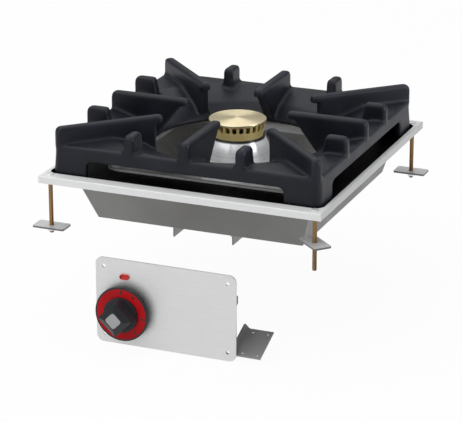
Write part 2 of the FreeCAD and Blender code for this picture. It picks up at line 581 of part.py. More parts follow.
def make_pilot():
    """Pilot flame and flame sensor on a bracket behind the burner."""
    turn = FreeCAD.Rotation(V(0, 0, 1), 1)
    plate_top = "rim_height - pilot_plate_rise"
    gauge, half = "pilot_sheet", "pilot_plate_half"
    side = [("pilot_plate_inner", plate_top), ("pilot_plate_inner", plate_top + " - " + gauge),
            ("pilot_post", plate_top + " - " + gauge), ("pilot_post", FLOOR_TOP),
            ("pilot_post + pilot_foot", FLOOR_TOP), ("pilot_post + pilot_foot", FLOOR_TOP + " + " + gauge),
            ("pilot_post + " + gauge, FLOOR_TOP + " + " + gauge), ("pilot_post + " + gauge, plate_top)]
    body = new_body("pilot_strip")
    pad(body, "pilot_strip_pad", "YZ_Plane", side, "2 * " + half, symmetric=True)
    left, right = "-pilot_spread / 2", "pilot_spread / 2"
    low, depth = plate_top + " - 2 * pilot_sheet", "3 * pilot_sheet"
    holes = [cylinder("pilot_hole", "pilot_radius + still_fit", depth, left, "pilot_from_axis", low),
             cylinder("sensor_hole", "sensor_radius + still_fit", depth, right, "pilot_from_axis", low)]
    bracket = cut("pilot_strip_drilled", body, *holes)
    flame = turned("pilot_tube", collared("pilot_radius") + [
        ("pilot_radius", "pilot_rise"), ("pilot_hood_radius", "pilot_rise"),
        ("pilot_hood_radius", "pilot_rise + pilot_hood - pilot_sheet"),
        ("pilot_hood_tip", "pilot_rise + pilot_hood"),
        ("0", "pilot_rise + pilot_hood")], plate_top, left, "pilot_from_axis")
    tip = "sensor_radius - sensor_step"
    sensor = turned("sensor_rod", collared("sensor_radius") + [
        ("sensor_radius", "sensor_rise"), (tip, "sensor_rise + sensor_step"),
        (tip, "sensor_rise + sensor_tip"),
        ("0", "sensor_rise + sensor_tip + sensor_step")], plate_top, right, "pilot_from_axis")
    for node, thing in (("pilot_bracket", bracket), ("pilot_burner", flame), ("thermocouple", sensor)):
        turned_piece = group(node + "_turned", thing)
        turned_piece.Placement = FreeCAD.Placement(V(), turn)
        bind(turned_piece, **{"Placement.Rotation.Angle": "pilot_angle - 90"})
        piece(node, turned_piece)


# Pan support

def fin(name, corners, turn, offset="0"):
    """One upright rib of the casting; corners are (distance from the axis, height), outer end first."""
    body = new_body(name)
    pad(body, name + "_pad", "XZ_Plane", corners, "fin_thick", offset, symmetric=True)
    outer_end, top = size(corners[0][0]) - NEAR, size("support_height") - NEAR
    above_nose = size("support_height - nose_height") + NEAR
    soften(body, name + "_shoulder", "fin_shoulder",
           lambda middle, along: middle.x > outer_end and middle.z > top)
    soften(body, name + "_soft", "fin_round",
           lambda middle, along: middle.z > above_nose or (middle.x > outer_end and upright(middle, along)))
    body.Placement = FreeCAD.Placement(V(), FreeCAD.Rotation(V(0, 0, 1), turn))
    return body


def make_arch(turn):
    """Tool that cuts one arch through a wall of the casting."""
    arch = new_body("arch_%d" % turn)
    pad(arch, "arch_pad_%d" % turn, "XZ_Plane", rectangle("arch_width", "2 * arch_height"),
        "support_width / 2", "arch_width / 2")
    soften(arch, "arch_soft_%d" % turn, "arch_round",
           lambda middle, along: abs(along.y) > 0.9 and middle.z > 0)
    arch.Placement = FreeCAD.Placement(V(), FreeCAD.Rotation(V(0, 0, 1), turn))
    return arch


def make_support_frame(inner):
    """Walls on corner feet and the dished web between them."""
    low, high = "support_width / 2", "support_width / 2 - support_draft"
    slab = frustum("support_slab", ("-(%s)" % low, low, "-(%s)" % low, low),
                   ("-(%s)" % high, high, "-(%s)" % high, high), "0", "support_height")
    drafted = rounded("support_drafted", slab, "support_corner", upright)
    outer = rounded("support_outer", drafted, "support_foot_round",
                    lambda middle, along: abs(middle.z) < NEAR)
    far, over, roof = "support_width", "support_height + past", "wall_height - web_thick - support_draft"
    air = turned("dish_air", [("0", "-past"), ("dish_radius", "-past"), ("dish_radius", "dish_low"),
                              ("dish_shelf", "dish_shelf_height"), (low + " - dish_margin", "wall_height"),
                              (far, "wall_height"), (far, over), ("0", over)])
    under = turned("dish_underside", [("0", "-past"), (inner, "-past"), (inner, roof),
                                      ("dish_shelf", "dish_shelf_height - web_thick"),
                                      ("dish_radius + lip_thick", "dish_low - lip_thick"),
                                      ("0", "dish_low - lip_thick")])
    square = block("corner_block", ("-(%s)" % inner, "-(%s)" % inner, "-past"), (inner, inner, roof))
    core = cylinder("corner_core", inner + " - wall_thick", "wall_height + 2 * past", z="-2 * past")
    arches = [make_arch(turn) for turn in QUARTERS]
    return cut("support_frame", outer, air, under, cut("corner_hollow", square, core), *arches)


def make_pan_support():
    """Cast pan support: four walls on corner feet, a dished web round the flame, and sixteen ribs."""
    inner = "support_width / 2 - wall_thick"
    reach = "support_width / 2 - fin_setback"
    corner_reach = "(support_width / 2 - fin_setback) * sqrt(2) - support_corner * (sqrt(2) - 1)"
    buried = "wall_height - web_thick + fin_setback"
    top, nose = "support_height", "support_height - nose_height"
    lip, shelf = "dish_low - lip_thick / 2", "dish_shelf_height - web_thick / 2"
    short_end = reach + " - short_fin_length"
    fins = []
    for turn in QUARTERS:
        leg = "long_fin_tip + nose_reach"
        fins.append(fin("long_fin_%d" % turn, [
            (reach, buried), (reach, top), ("long_fin_tip", top), ("long_fin_tip", nose), (leg, nose),
            ("dish_radius + lip_thick / 2", lip), ("dish_shelf", shelf), (inner, buried)], turn))
        leg = "corner_fin_tip + nose_reach"
        fins.append(fin("corner_fin_%d" % turn, [
            (corner_reach, buried), (corner_reach, top), ("corner_fin_tip", top), ("corner_fin_tip", nose),
            (leg, nose), (leg, "dish_low"), ("dish_shelf", shelf), (inner, buried)], turn + DIAGONAL))
        for side, offset in (("left", "short_fin_offset"), ("right", "-short_fin_offset")):
            fins.append(fin("short_fin_%s_%d" % (side, turn), [
                (reach, buried), (reach, top), (short_end, top), (short_end + " - short_fin_foot", buried)],
                turn, offset))
    support = fuse("support", make_support_frame(inner), *fins)
    place(support, z=LEDGE)
    piece("pan_support", support)


# Control panel, tap and bracket

def make_panel():
    """Stainless panel with four fixing holes and the spindle hole."""
    body = new_body("panel_body")
    pad(body, "panel_pad", "XZ_Plane", rectangle("panel_width", "panel_height"), "panel_sheet")
    soften(body, "panel_corners", "panel_corner", lambda middle, along: abs(along.y) > 0.9)
    place(body, "panel_x", PANEL_BACK, "panel_z")
    start, depth = "-panel_forward - past", "panel_sheet + 2 * past"
    holes = [panel_hole_rod("panel_hole_" + corner, corner, start, depth) for corner in CORNERS]
    holes.append(spindle_rod("panel_spindle_way", "panel_spindle_hole", start, depth))
    holes += tap_screw_rods("panel_screw_hole", "tap_screw_radius", start, depth)
    piece("control_panel", cut("panel", body, *holes))


def panel_hole_rod(name, corner, start, length):
    """Rod the size of a fixing hole, at one corner of the panel."""
    side, end = CORNERS[corner]
    x = "panel_x + %d * (panel_width / 2 - panel_hole_inset)" % side
    z = "panel_z + %d * (panel_height / 2 - panel_hole_inset)" % end
    return cylinder(name, "panel_hole", length, x, start, z, "y")


def tap_screw_rods(name, radius, start, length):
    """Two rods beside the spindle, at the screws of the bonnet."""
    rods = []
    for number, side in enumerate((-1, 1)):
        x = "%s + %d * tap_screw_half" % (SPINDLE_X, side)
        rods.append(cylinder("%s_%d" % (name, number), radius, length, x, start, SPINDLE_Z, "y"))
    return rods


def spindle_rod(name, radius, start, length):
    """Rod on the spindle's axis."""
    return cylinder(name, radius, length, SPINDLE_X, start, SPINDLE_Z, "y")


def tap_port_rod(name, radius, start, length):
    """Upright rod through the tap's ports, from a height above or below the spindle's axis."""
    return cylinder(name, radius, length, SPINDLE_X, TAP_PORT_Y, "%s + %s" % (SPINDLE_Z, start))


def make_tap():
    """Gas tap: bonnet on the panel, body with its ports, magnet unit, spindle, push pin and screws."""
    wide, high = "bonnet_width / 2", "bonnet_height / 2"
    oval = block("bonnet_block", (SPINDLE_X + " - " + wide, PANEL_BACK, SPINDLE_Z + " - " + high),
                 (SPINDLE_X + " + " + wide, BONNET_BACK, SPINDLE_Z + " + " + high))
    soft = rounded("bonnet_soft", oval, "bonnet_corner", lambda middle, along: abs(along.y) > 0.9)
    start, depth = PANEL_BACK + " - past", "bonnet_thick + 2 * past"
    way = spindle_rod("bonnet_way", "spindle_radius + still_fit", start, depth)
    threads = tap_screw_rods("bonnet_thread", "tap_screw_radius", start, depth)
    piece("tap_bonnet", cut("bonnet", soft, way, *threads))

    drum = spindle_rod("tap_drum", "tap_radius", BONNET_BACK, "tap_length")
    outlet = tap_port_rod("tap_outlet", "outlet_radius", "-outlet_reach", "outlet_reach")
    collar = hexagon("tap_outlet_hex", "outlet_hex", "outlet_hex_height", SPINDLE_X, TAP_PORT_Y,
                     SPINDLE_Z + " - outlet_hex_drop")
    boss = tap_port_rod("tap_inlet", "inlet_boss", "0", "pipe_above - pipe_bend")
    gas_out = tap_port_rod("tap_gas_out", "outlet_bore", "-outlet_reach - past",
                           "outlet_reach + past - tap_radius / 2")
    gas_in = tap_port_rod("tap_gas_in", "pipe_radius + still_fit", "pipe_radius", "pipe_above")
    spindle_way = spindle_rod("tap_spindle_way", "spindle_radius + still_fit", BONNET_BACK + " - past",
                              "spindle_in_tap - bonnet_thick + push_travel + push_spare + past")
    pin_start = PANEL_BACK + " + spindle_in_tap"
    pin_way = spindle_rod("tap_pin_way", "pin_radius + still_fit", pin_start,
                          "pin_length + push_travel + push_spare")
    solid = fuse("tap_solid", drum, outlet, collar, boss)
    piece("tap_body", cut("tap", solid, gas_out, gas_in, spindle_way, pin_way))

    shanks = tap_screw_rods("tap_screw", "tap_screw_radius - still_fit", "-panel_forward",
                            "panel_sheet + bonnet_thick")
    heads = tap_screw_rods("tap_screw_head", "tap_screw_head", "-panel_forward - tap_screw_head_height",
                           "tap_screw_head_height")
    screws = [fuse("tap_screw_whole_%d" % number, *both) for number, both in enumerate(zip(shanks, heads))]
    piece("tap_screws", group("tap_screw_pair", *screws))

    can = spindle_rod("magnet_can", "magnet_radius", TAP_BACK, "magnet_length")
    nut = hexagon("magnet_nut_hex", "magnet_nut", "magnet_nut_height", SPINDLE_X, TAP_BACK, SPINDLE_Z, "y")
    piece("magnet_unit", fuse("magnet", can, nut))
    piece("push_pin", spindle_rod("pin", "pin_radius", pin_start, "pin_length"))
    nose = "-panel_forward - dial_proud - hub_depth + dial_skirt"
    piece("tap_spindle", spindle_rod("spindle", "spindle_radius", nose, "(%s) - (%s)" % (pin_start, nose)))


def make_supply_pipe():
    """Bent gas pipe from the top of the tap to a coupling nut near the panel's right edge."""
    body = new_body("pipe_body")
    path = blank_sketch(body, "pipe_path", "XZ_Plane")
    low, bend = size("pipe_radius"), size("pipe_bend")
    top, far = size("pipe_above"), size("pipe_end - (%s)" % SPINDLE_X)
    path.addGeometry(Part.LineSegment(V(0, low, 0), V(0, top - bend, 0)))
    elbow = Part.Circle(V(bend, top - bend, 0), V(0, 0, 1), bend)
    path.addGeometry(Part.ArcOfCircle(elbow, math.pi / 2, math.pi))
    path.addGeometry(Part.LineSegment(V(bend, top, 0), V(far, top, 0)))
    path.addConstraint(Sketcher.Constraint("Tangent", 0, 2, 1, 2))
    path.addConstraint(Sketcher.Constraint("Tangent", 1, 1, 2, 1))
    path.addConstraint(Sketcher.Constraint("Vertical", 0))
    path.addConstraint(Sketcher.Constraint("Horizontal", 2))
    dimension(path, "0", "DistanceX", -1, 1, 0, 1)
    dimension(path, "pipe_radius", "DistanceY", -1, 1, 0, 1)
    dimension(path, "pipe_bend", "Radius", 1)
    dimension(path, "pipe_end - (%s)" % SPINDLE_X, "DistanceX", -1, 1, 2, 2)
    dimension(path, "pipe_above", "DistanceY", -1, 1, 2, 2)
    section = blank_sketch(body, "pipe_section", "XY_Plane", "pipe_radius")
    for number, radius in enumerate(("pipe_radius", "pipe_bore_radius")):
        section.addGeometry(Part.Circle(V(), V(0, 0, 1), size(radius)))
        section.addConstraint(Sketcher.Constraint("Coincident", number, 3, -1, 1))
        dimension(section, radius, "Radius", number)
    feature(body, "AdditivePipe", "pipe_sweep", section).Spine = (path, ["Edge1", "Edge2", "Edge3"])
    piece("supply_pipe", place(body, SPINDLE_X, TAP_PORT_Y, SPINDLE_Z))
    start, level = "pipe_end - pipe_nut_length", SPINDLE_Z + " + pipe_above"
    hexa = hexagon("pipe_nut_hex", "pipe_nut_flats", "pipe_nut_length", start, TAP_PORT_Y, level, "x")
    bore = cylinder("pipe_nut_bore", "pipe_radius + still_fit", "pipe_nut_length + 2 * past",
                    start + " - past", TAP_PORT_Y, level, "x")
    piece("coupling_nut", cut("pipe_nut", hexa, bore))


def make_bracket():
    """Folded bracket: tab on the back of the panel, leaning flange and a sloping foot with four holes."""
    edge, gauge = "panel_x + panel_width / 2 - bracket_overlap", "bracket_sheet"
    inset, run = "bracket_hole_inset", "bracket_depth / cos(bracket_slope)"
    drills = [cylinder("bracket_drill_%d_%d" % (i, j), "bracket_hole", gauge + " + 2 * past", x, y, "-past")
              for i, x in enumerate((gauge + " + " + inset, "bracket_length - " + inset))
              for j, y in enumerate((inset, run + " - " + inset))]
    folded = cut("bracket_folded", group("bracket_sheet_metal", bracket_angle(run)), *drills)
    place(folded, edge, PANEL_BACK, "bracket_front_z", FreeCAD.Rotation(V(1, 0, 0), 1))
    bind(folded, **{"Placement.Rotation.Angle": "bracket_slope"})
    tab = block("bracket_tab", (edge + " - bracket_tab_width", PANEL_BACK, "bracket_front_z"),
                (edge + " + " + gauge, PANEL_BACK + " + " + gauge, "bracket_front_z + bracket_tab_height"))
    trim = block("bracket_trim",
                 (edge + " - bracket_lean - past", PANEL_BACK + " - bracket_depth",
                  "bracket_front_z - bracket_depth"),
                 (edge + " + bracket_length + past", PANEL_BACK, "bracket_front_z + bracket_depth"))
    hole = panel_hole_rod("bracket_tab_hole", "front_right", PANEL_BACK + " - past", gauge + " + 2 * past")
    piece("panel_bracket", cut("bracket", fuse("bracket_joined", folded, tab), trim, hole))


def bracket_angle(run):
    """Foot and flange as one bent sheet; the fold is rounded on both sides."""
    gauge, top, lean = "bracket_sheet", "bracket_upright", "bracket_lean"
    across = "%s * sqrt(%s^2 + %s^2) / %s" % (gauge, top, lean, top)
    fold = "%s - %s * %s / %s" % (across, lean, gauge, top)
    body = new_body("bracket_angle")
    pad(body, "bracket_bent", "XZ_Plane", [
        ("0", "0"), ("bracket_length", "0"), ("bracket_length", gauge), (fold, gauge),
        ("%s - %s" % (across, lean), top), ("-" + lean, top)], run).Reversed = True
    inner, level = size(fold), size(gauge)
    soften(body, "bracket_inner_fold", "bracket_bend",
           lambda middle, along: abs(middle.x - inner) < NEAR and abs(middle.z - level) < NEAR)
    soften(body, "bracket_outer_fold", "bracket_bend + bracket_sheet",
           lambda middle, along: abs(along.y) > 0.9 and abs(middle.x) < NEAR and abs(middle.z) < NEAR)
    return body


# Knob

def make_knob():
    """Push-and-turn knob: dial skirt, red ring, square grip with a faceted front, and its inlay."""
    facing = FreeCAD.Rotation(V(1, 0, 0), 90)
    front = "-panel_forward - dial_proud"
    bore = "spindle_radius + still_fit"
    inside = "dial_radius - dial_wall"
    skirt = turned("dial_skirt_body", [
        (bore, "-dial_skirt"), ("hub_radius", "-dial_skirt"), ("hub_radius", "-dial_wall"),
        (inside, "-dial_wall"), (inside, "-dial_skirt"), ("dial_radius", "-dial_skirt"),
        ("dial_radius", "0"),
        ("dial_ring_outer", "0"), ("dial_ring_outer", "-dial_ring_thick"),
        ("dial_ring_inner", "-dial_ring_thick"), ("dial_ring_inner", "0"),
        (bore, "0")], SPINDLE_Z, SPINDLE_X, front, facing)
    piece("knob_skirt", skirt)
    ring = turned("dial_ring_body", [
        ("dial_ring_inner", "-dial_ring_thick"), ("dial_ring_outer", "-dial_ring_thick"),
        ("dial_ring_outer", "0"), ("dial_ring_inner", "0")], SPINDLE_Z, SPINDLE_X, front, facing)
    piece("dial_ring", ring)

    base = cylinder("grip_disc", "grip_base_radius", "grip_base")
    sides = grip_pyramid("grip_sides", "grip_side", "grip_front_side")
    soft = rounded("grip_soft", sides, "grip_round", upright)
    spread = "grip_flat_side + (grip_front_side - grip_flat_side) * grip_height / grip_facet"
    faceted = doc.addObject("Part::MultiCommon", "grip_faceted")
    faceted.Shapes = [soft, grip_pyramid("grip_facets", spread, "grip_flat_side")]
    tilted = in_diamond(group("grip_diamond", faceted))
    socket = cylinder("grip_socket", bore, "hub_depth - dial_skirt")
    recess = inlay_pad("grip_recess", "inlay_thick + past")
    grip = cut("grip", fuse("grip_solid", base, tilted), socket, recess)
    piece("knob_grip", place(grip, SPINDLE_X, front, SPINDLE_Z, facing))
    inlay = group("inlay", inlay_pad("inlay_plate", "inlay_thick"))
    piece("knob_inlay", place(inlay, SPINDLE_X, front, SPINDLE_Z, facing))


def grip_pyramid(name, low_side, high_side):
    """Square pyramid without its point, as high as the grip."""
    low, high = "(%s) / 2" % low_side, "(%s) / 2" % high_side
    return frustum(name, ("-" + low, low, "-" + low, low), ("-" + high, high, "-" + high, high),
                   "0", "grip_height")


def in_diamond(thing):
    """Turn a square piece of the grip onto its corner."""
    place(thing, rotation=FreeCAD.Rotation(V(0, 0, 1), 1))
    return bind(thing, **{"Placement.Rotation.Angle": "grip_turn"})


def inlay_pad(name, thickness):
    """Rounded square in the front of the grip, turned as the grip is."""
    body = new_body(name)
    pad(body, name + "_pad", "XY_Plane", rectangle("inlay_side", "inlay_side"), thickness,
        "grip_height - inlay_thick")
    soften(body, name + "_soft", "inlay_round", upright)
    return in_diamond(body)


def check_and_write():
    """Stop on any failed object or bad solid, then write one file for each piece."""
    doc.recompute()
    for thing in doc.Objects:
        if "Invalid" in thing.State or "Error" in thing.State:
            raise RuntimeError("failed: %s %s" % (thing.Name, thing.State))
    for node, thing in pieces.items():
        if thing.Shape.isNull() or not thing.Shape.isValid() or thing.Shape.Volume <= 0:
            raise RuntimeError("bad solid: " + node)
    os.makedirs("parts", exist_ok=True)
    for node, thing in pieces.items():
        thing.Shape.exportStep("parts/%s.step" % node)
        box = thing.Shape.BoundBox
        print("%-24s solids %d volume %9.0f" % (node, len(thing.Shape.Solids), thing.Shape.Volume),
              "size %.1f %.1f %.1f" % (box.XLength, box.YLength, box.ZLength))

make_rim()
make_basin()
make_clamps()
make_carrier()
make_burner()
make_crown_and_cap()
make_shroud()
make_jet()
make_pilot()
make_pan_support()
make_panel()
make_tap()
make_supply_pipe()
make_bracket()
make_knob()
check_and_write()
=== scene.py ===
"""Looks of a drop-in gas hob and its control panel: finishes, soft edges, threads, print and studio."""

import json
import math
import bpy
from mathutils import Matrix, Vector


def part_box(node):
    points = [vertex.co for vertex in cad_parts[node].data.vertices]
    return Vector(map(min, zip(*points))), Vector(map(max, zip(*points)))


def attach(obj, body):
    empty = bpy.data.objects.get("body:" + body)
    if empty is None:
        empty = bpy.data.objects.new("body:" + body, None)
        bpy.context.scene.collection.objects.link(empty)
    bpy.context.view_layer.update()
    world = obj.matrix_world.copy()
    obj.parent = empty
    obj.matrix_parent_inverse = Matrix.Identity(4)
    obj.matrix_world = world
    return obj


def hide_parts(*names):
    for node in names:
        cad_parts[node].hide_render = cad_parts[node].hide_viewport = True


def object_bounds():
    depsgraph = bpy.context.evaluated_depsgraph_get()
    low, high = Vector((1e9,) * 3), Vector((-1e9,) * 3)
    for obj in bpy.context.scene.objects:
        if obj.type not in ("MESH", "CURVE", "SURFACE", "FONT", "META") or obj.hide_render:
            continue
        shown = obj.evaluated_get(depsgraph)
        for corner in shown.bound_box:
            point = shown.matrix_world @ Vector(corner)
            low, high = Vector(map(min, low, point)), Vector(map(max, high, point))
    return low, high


bl_info = {
    "name": "Drop-in gas hob",
    "version": (1, 0, 0),
    "blender": (4, 5, 0),
    "location": "View3D > Sidebar > Gas hob",
    "description": "Finishes the castings, sheet metal, burner and knob of a drop-in gas hob",
    "category": "Object",
}

import bpy
from bpy.props import FloatProperty, FloatVectorProperty, IntProperty, PointerProperty
from mathutils import Matrix, Vector

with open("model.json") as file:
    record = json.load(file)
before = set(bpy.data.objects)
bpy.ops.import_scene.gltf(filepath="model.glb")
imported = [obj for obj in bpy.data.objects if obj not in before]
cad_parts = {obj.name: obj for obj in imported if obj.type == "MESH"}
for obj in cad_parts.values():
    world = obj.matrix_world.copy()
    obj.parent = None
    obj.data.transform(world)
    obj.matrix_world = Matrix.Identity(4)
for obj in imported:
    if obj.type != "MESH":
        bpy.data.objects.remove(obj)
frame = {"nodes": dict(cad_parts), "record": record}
CAD_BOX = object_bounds()
BODY_OF = {node: body for body, nodes in frame["record"]["behaviour"]["bodies"].items() for node in nodes}
CORNERS = ("front_left", "front_right", "back_right", "back_left")

# Angles, in degrees
SHARP_EDGE = 35  # an edge this sharp is rounded
ONE_PLANE = 0.3  # faces that differ by less are one flat face
TICK_ANGLES = (0, 95, 140)  # clockwise from the dial's top
DOT_ANGLE = 34

# Threads
TRIANGLE_HEIGHT = 1.5  # of a triangle in a circle of radius 1
RIDGE_SPREAD = 0.57  # share of the pitch, so that the turns of the ridge just miss each other
RIDGE_STEPS = 16  # in one turn
BARE_TURNS = 2  # left off a stud's length

# Lamps that face the middle: name, place, width and height in metres, and watts
LAMPS = (
    ("key", (-0.6, -2.4, 0.4), 1.8, 0.9, 8),
    ("front", (-1.0, -1.4, 2.3), 3.4, 2.6, 44),
    ("top", (-0.3, 0.7, 2.5), 4.0, 3.2, 48),
    ("back", (-0.75, 1.85, 1.45), 0.8, 0.5, 2.2),
    ("right", (1.95, 0.16, 0.75), 1.0, 1.2, 26),
)
# The sheet metal is shaded from the lamp on the right
LIT_FROM_RIGHT = ("pan_support_casting", "burner_shroud", "burner_cap_soft", "burner_crown_soft")


# Values that a user would change

def length(name, description, default):
    return FloatProperty(name=name, description=description, default=default, min=0, subtype="DISTANCE",
                         unit="LENGTH", precision=5)


def colour(name, description, default):
    return FloatVectorProperty(name=name, description=description, default=default, min=0, max=1, size=3,
                               subtype="COLOR")


def angle(name, description, degrees):
    return FloatProperty(name=name, description=description, default=math.radians(degrees), subtype="ANGLE",
                         unit="ROTATION")


class HobSizes(bpy.types.PropertyGroup):
    """Sizes of what is modelled here"""
    casting_skin: length("Casting skin", "Mesh size of the rounded casting", 0.0022)
    casting_rounds: IntProperty(name="Casting rounding", description="Smoothing steps on the casting",
                                default=5, min=0)
    sheet_edge: length("Sheet edge", "Rounding of cut sheet edges", 0.00025)
    machined_edge: length("Machined edge", "Rounding of turned and milled edges", 0.0003)
    moulded_edge: length("Moulded edge", "Rounding of the knob's edges", 0.0009)
    recess_half: length("Recess", "Half the width of the recess that the pan support stands in", 0.1946)
    well_half: length("Well", "Half the width of the well, with its rolled edge", 0.1392)
    stud_radius: length("Stud radius", "Outer radius of the clamp studs", 0.003)
    thread_pitch: length("Thread pitch", "Pitch of the clamp studs", 0.001)
    thread_depth: length("Thread depth", "Depth of the clamp studs' thread", 0.0005)
    # Painted shade: height of the dark band on the shroud's top, the shadow where the crown sits on it
    painted_joint_shade: length("Joint line", "Height of the dark line where the crown sits on the shroud", 0.0036)
    print_proud: length("Print height", "How far printed marks stand proud", 0.00012)
    index_length: length("Index length", "Length of the red index bar on the panel", 0.013)
    index_width: length("Index width", "Width of the red index bar on the panel", 0.0065)
    index_round: FloatProperty(name="Index rounding", description="Corner radius as a share of its width",
                               default=0.48, min=0, max=0.49, subtype="FACTOR")
    index_above: length("Index height", "Distance of the index bar above the knob's axis", 0.0485)
    tick_length: length("Tick length", "Length of a dial tick", 0.0065)
    tick_width: length("Tick width", "Width of a dial tick", 0.0022)
    dot_radius: length("Dot radius", "Radius of the dial's dot", 0.0019)
    mark_radius: length("Mark circle", "Radius of the circle that the dial's marks lie on", 0.0312)


class HobColours(bpy.types.PropertyGroup):
    """Colours of the finishes"""
    stainless: colour("Stainless", "Satin stainless of the rim", (0.81, 0.81, 0.81))
    panel: colour("Panel", "Satin stainless of the control panel", (0.73, 0.73, 0.73))
    # Painted shade: the recess is coloured black where shade falls under the pan support
    recess: colour("Recess", "Blackened floor of the recess", (0.003, 0.003, 0.003))
    basin_inside: colour("Basin inside", "Bright inner side of the basin", (0.6, 0.597, 0.59))
    # Painted shade: the basin's outer side is the same sheet in a darker copy
    basin_outside: colour("Basin outside", "Dull outer side of the basin", (0.245, 0.245, 0.238))
    carrier: colour("Carrier", "Sheet of the burner carrier", (0.34, 0.34, 0.335))
    bracket: colour("Bracket", "Sheet of the brackets", (0.3, 0.3, 0.296))
    plate: colour("Clamp plate", "Zinc of the clamp plates and nuts", (0.78, 0.78, 0.78))
    stud: colour("Stud", "Yellow passivated studs", (0.30, 0.185, 0.08))
    enamel: colour("Enamel", "Black enamel of the pan support", (0.0115, 0.0125, 0.018))
    # Partly painted highlight: paler raised edges stand for thin enamel and for the light the edges catch
    enamel_edge_and_highlight: colour("Enamel edge", "Thinner enamel on raised edges", (0.034, 0.037, 0.049))
    cap: colour("Cap", "Pale turned brass", (0.93, 0.81, 0.52))
    crown: colour("Crown", "Deep milled brass", (0.95, 0.76, 0.33))
    fitting: colour("Fittings", "Machined brass of tap and jet", (0.68, 0.50, 0.22))
    shroud: colour("Shroud", "Polished cone", (0.92, 0.93, 0.94))
    iron: colour("Bare iron", "Burner casting", (0.10, 0.097, 0.093))
    steel: colour("Bright steel", "Screws, spindle and sensor", (0.60, 0.60, 0.61))
    pipe: colour("Gas pipe", "Dull grey pipe and nut", (0.17, 0.17, 0.175))
    plastic: colour("Knob", "Black moulding", (0.022, 0.0225, 0.026))
    dial: colour("Dial", "Red dial", (0.45, 0.006, 0.009))
    inlay: colour("Inlay", "Pale inlay of the knob", (0.37, 0.37, 0.37))
    ink: colour("Ink", "Dark print on the dial", (0.04, 0.006, 0.007))
    index: colour("Index", "Red print on the panel", (0.66, 0.035, 0.03))


class StudioSettings(bpy.types.PropertyGroup):
    """Camera and light"""
    azimuth: angle("Azimuth", "Camera's angle to the right of the front", 22.26)
    elevation: angle("Elevation", "Camera's angle above the horizon", 19.67)
    distance: length("Distance", "From the camera to its target", 3.1055)
    target_left: length("Target left", "How far left of the rim's middle the camera aims", 0.0091)
    target_below: length("Target below", "How far below the rim's top the camera aims", 0.0869)
    lens: FloatProperty(name="Lens", description="Focal length on a sensor 36 mm wide", default=175.32,
                        min=1, unit="CAMERA")
    floor_below: length("Floor gap", "Gap between the lowest piece and the floor", 0.001)
    floor_width: length("Floor width", "Width of the floor", 12)
    floor_white: FloatProperty(name="Floor white", description="Share of plain white in the floor as seen",
                               default=0.955, min=0, max=1, subtype="FACTOR")
    ambient: FloatProperty(name="Ambient", description="Strength of the light from all around",
                           default=0.3, min=0)


# Modelling helpers

def only(piece):
    """Make a piece the one selected and active object."""
    bpy.ops.object.select_all(action="DESELECT")
    piece.select_set(True)
    bpy.context.view_layer.objects.active = piece


def in_edit_mode(piece):
    only(piece)
    bpy.ops.object.mode_set(mode="EDIT")
    bpy.ops.mesh.select_all(action="SELECT")


def in_object_mode():
    bpy.ops.object.mode_set(mode="OBJECT")


def pick(piece, test):
    """Go into edit mode with the vertices selected whose places pass a test."""
    in_edit_mode(piece)
    bpy.ops.mesh.select_mode(type="VERT")
    bpy.ops.mesh.select_all(action="DESELECT")
    in_object_mode()
    for vertex in piece.data.vertices:
        vertex.select = test(vertex.co)
    bpy.ops.object.mode_set(mode="EDIT")


def new_piece(name):
    """Name the primitive that was just added, with its place in its mesh."""
    piece = bpy.context.object
    piece.name = name
    only(piece)
    bpy.ops.object.transform_apply(location=True, rotation=True, scale=True)
    return piece


def copy_of(node, name, flat=True):
    """Merged copy of a CAD node; flat faces are joined into as few pieces as leave none with a hole."""
    piece = bpy.data.objects.new(name, frame["nodes"][node].data.copy())
    bpy.context.scene.collection.objects.link(piece)
    in_edit_mode(piece)
    bpy.ops.mesh.customdata_custom_splitnormals_clear()
    bpy.ops.mesh.remove_doubles(threshold=1e-6)
    if flat:
        bpy.ops.mesh.dissolve_limited(angle_limit=math.radians(ONE_PLANE))
        bpy.ops.mesh.quads_convert_to_tris()
        bpy.ops.mesh.tris_convert_to_quads(face_threshold=math.radians(ONE_PLANE), shape_threshold=math.pi)
    in_object_mode()
    return piece


def apply_modifiers(piece):
    only(piece)
    for modifier in list(piece.modifiers):
        bpy.ops.object.modifier_apply(modifier=modifier.name)


def smooth(piece, degrees=40):
    only(piece)
    bpy.ops.object.shade_smooth_by_angle(angle=math.radians(degrees))


def soften(piece, width, segments=2):
    """Round a piece's sharp edges and keep its flat faces evenly shaded."""
    bevel = piece.modifiers.new("soft_edges", "BEVEL")
    bevel.width = width
    bevel.segments = segments
    bevel.limit_method = "ANGLE"
    bevel.angle_limit = math.radians(SHARP_EDGE)
    bevel.miter_outer = "MITER_ARC"
    apply_modifiers(piece)
    smooth(piece)
    flat = piece.modifiers.new("flat_faces", "WEIGHTED_NORMAL")
    flat.keep_sharp = True
    apply_modifiers(piece)
    return piece


def paint(piece, *materials):
    piece.data.materials.clear()
    for material in materials:
        piece.data.materials.append(material)


def stand_for(piece, node, *materials):
    """Let a finished piece take the place of a CAD node."""
    paint(piece, *materials)
    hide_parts(node)
    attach(piece, BODY_OF[node])


def soft_copy(node, width, material, segments=2, flat=True):
    """Stand for a CAD node with a copy whose edges are rounded."""
    piece = soften(copy_of(node, node + "_soft", flat), width, segments)
    stand_for(piece, node, material)


def finish_nodes(material, *nodes):
    """Give CAD nodes that stay as they are their finish."""
    for node in nodes:
        paint(frame["nodes"][node], material)


def middle(node):
    low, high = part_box(node)
    return (low + high) / 2


# Shader helpers

def fill(tree, socket, value):
    """Link a node's input to another node's output, or give it a plain value."""
    if isinstance(value, bpy.types.NodeSocket):
        tree.links.new(value, socket)
    else:
        socket.default_value = value


def add(tree, kind, inputs=None, **settings):
    """Add a node, set its properties, and fill its inputs by name."""
    node = tree.nodes.new(kind)
    for name, value in settings.items():
        setattr(node, name, value)
    for name, value in (inputs or {}).items():
        fill(tree, node.inputs[name], value)
    return node


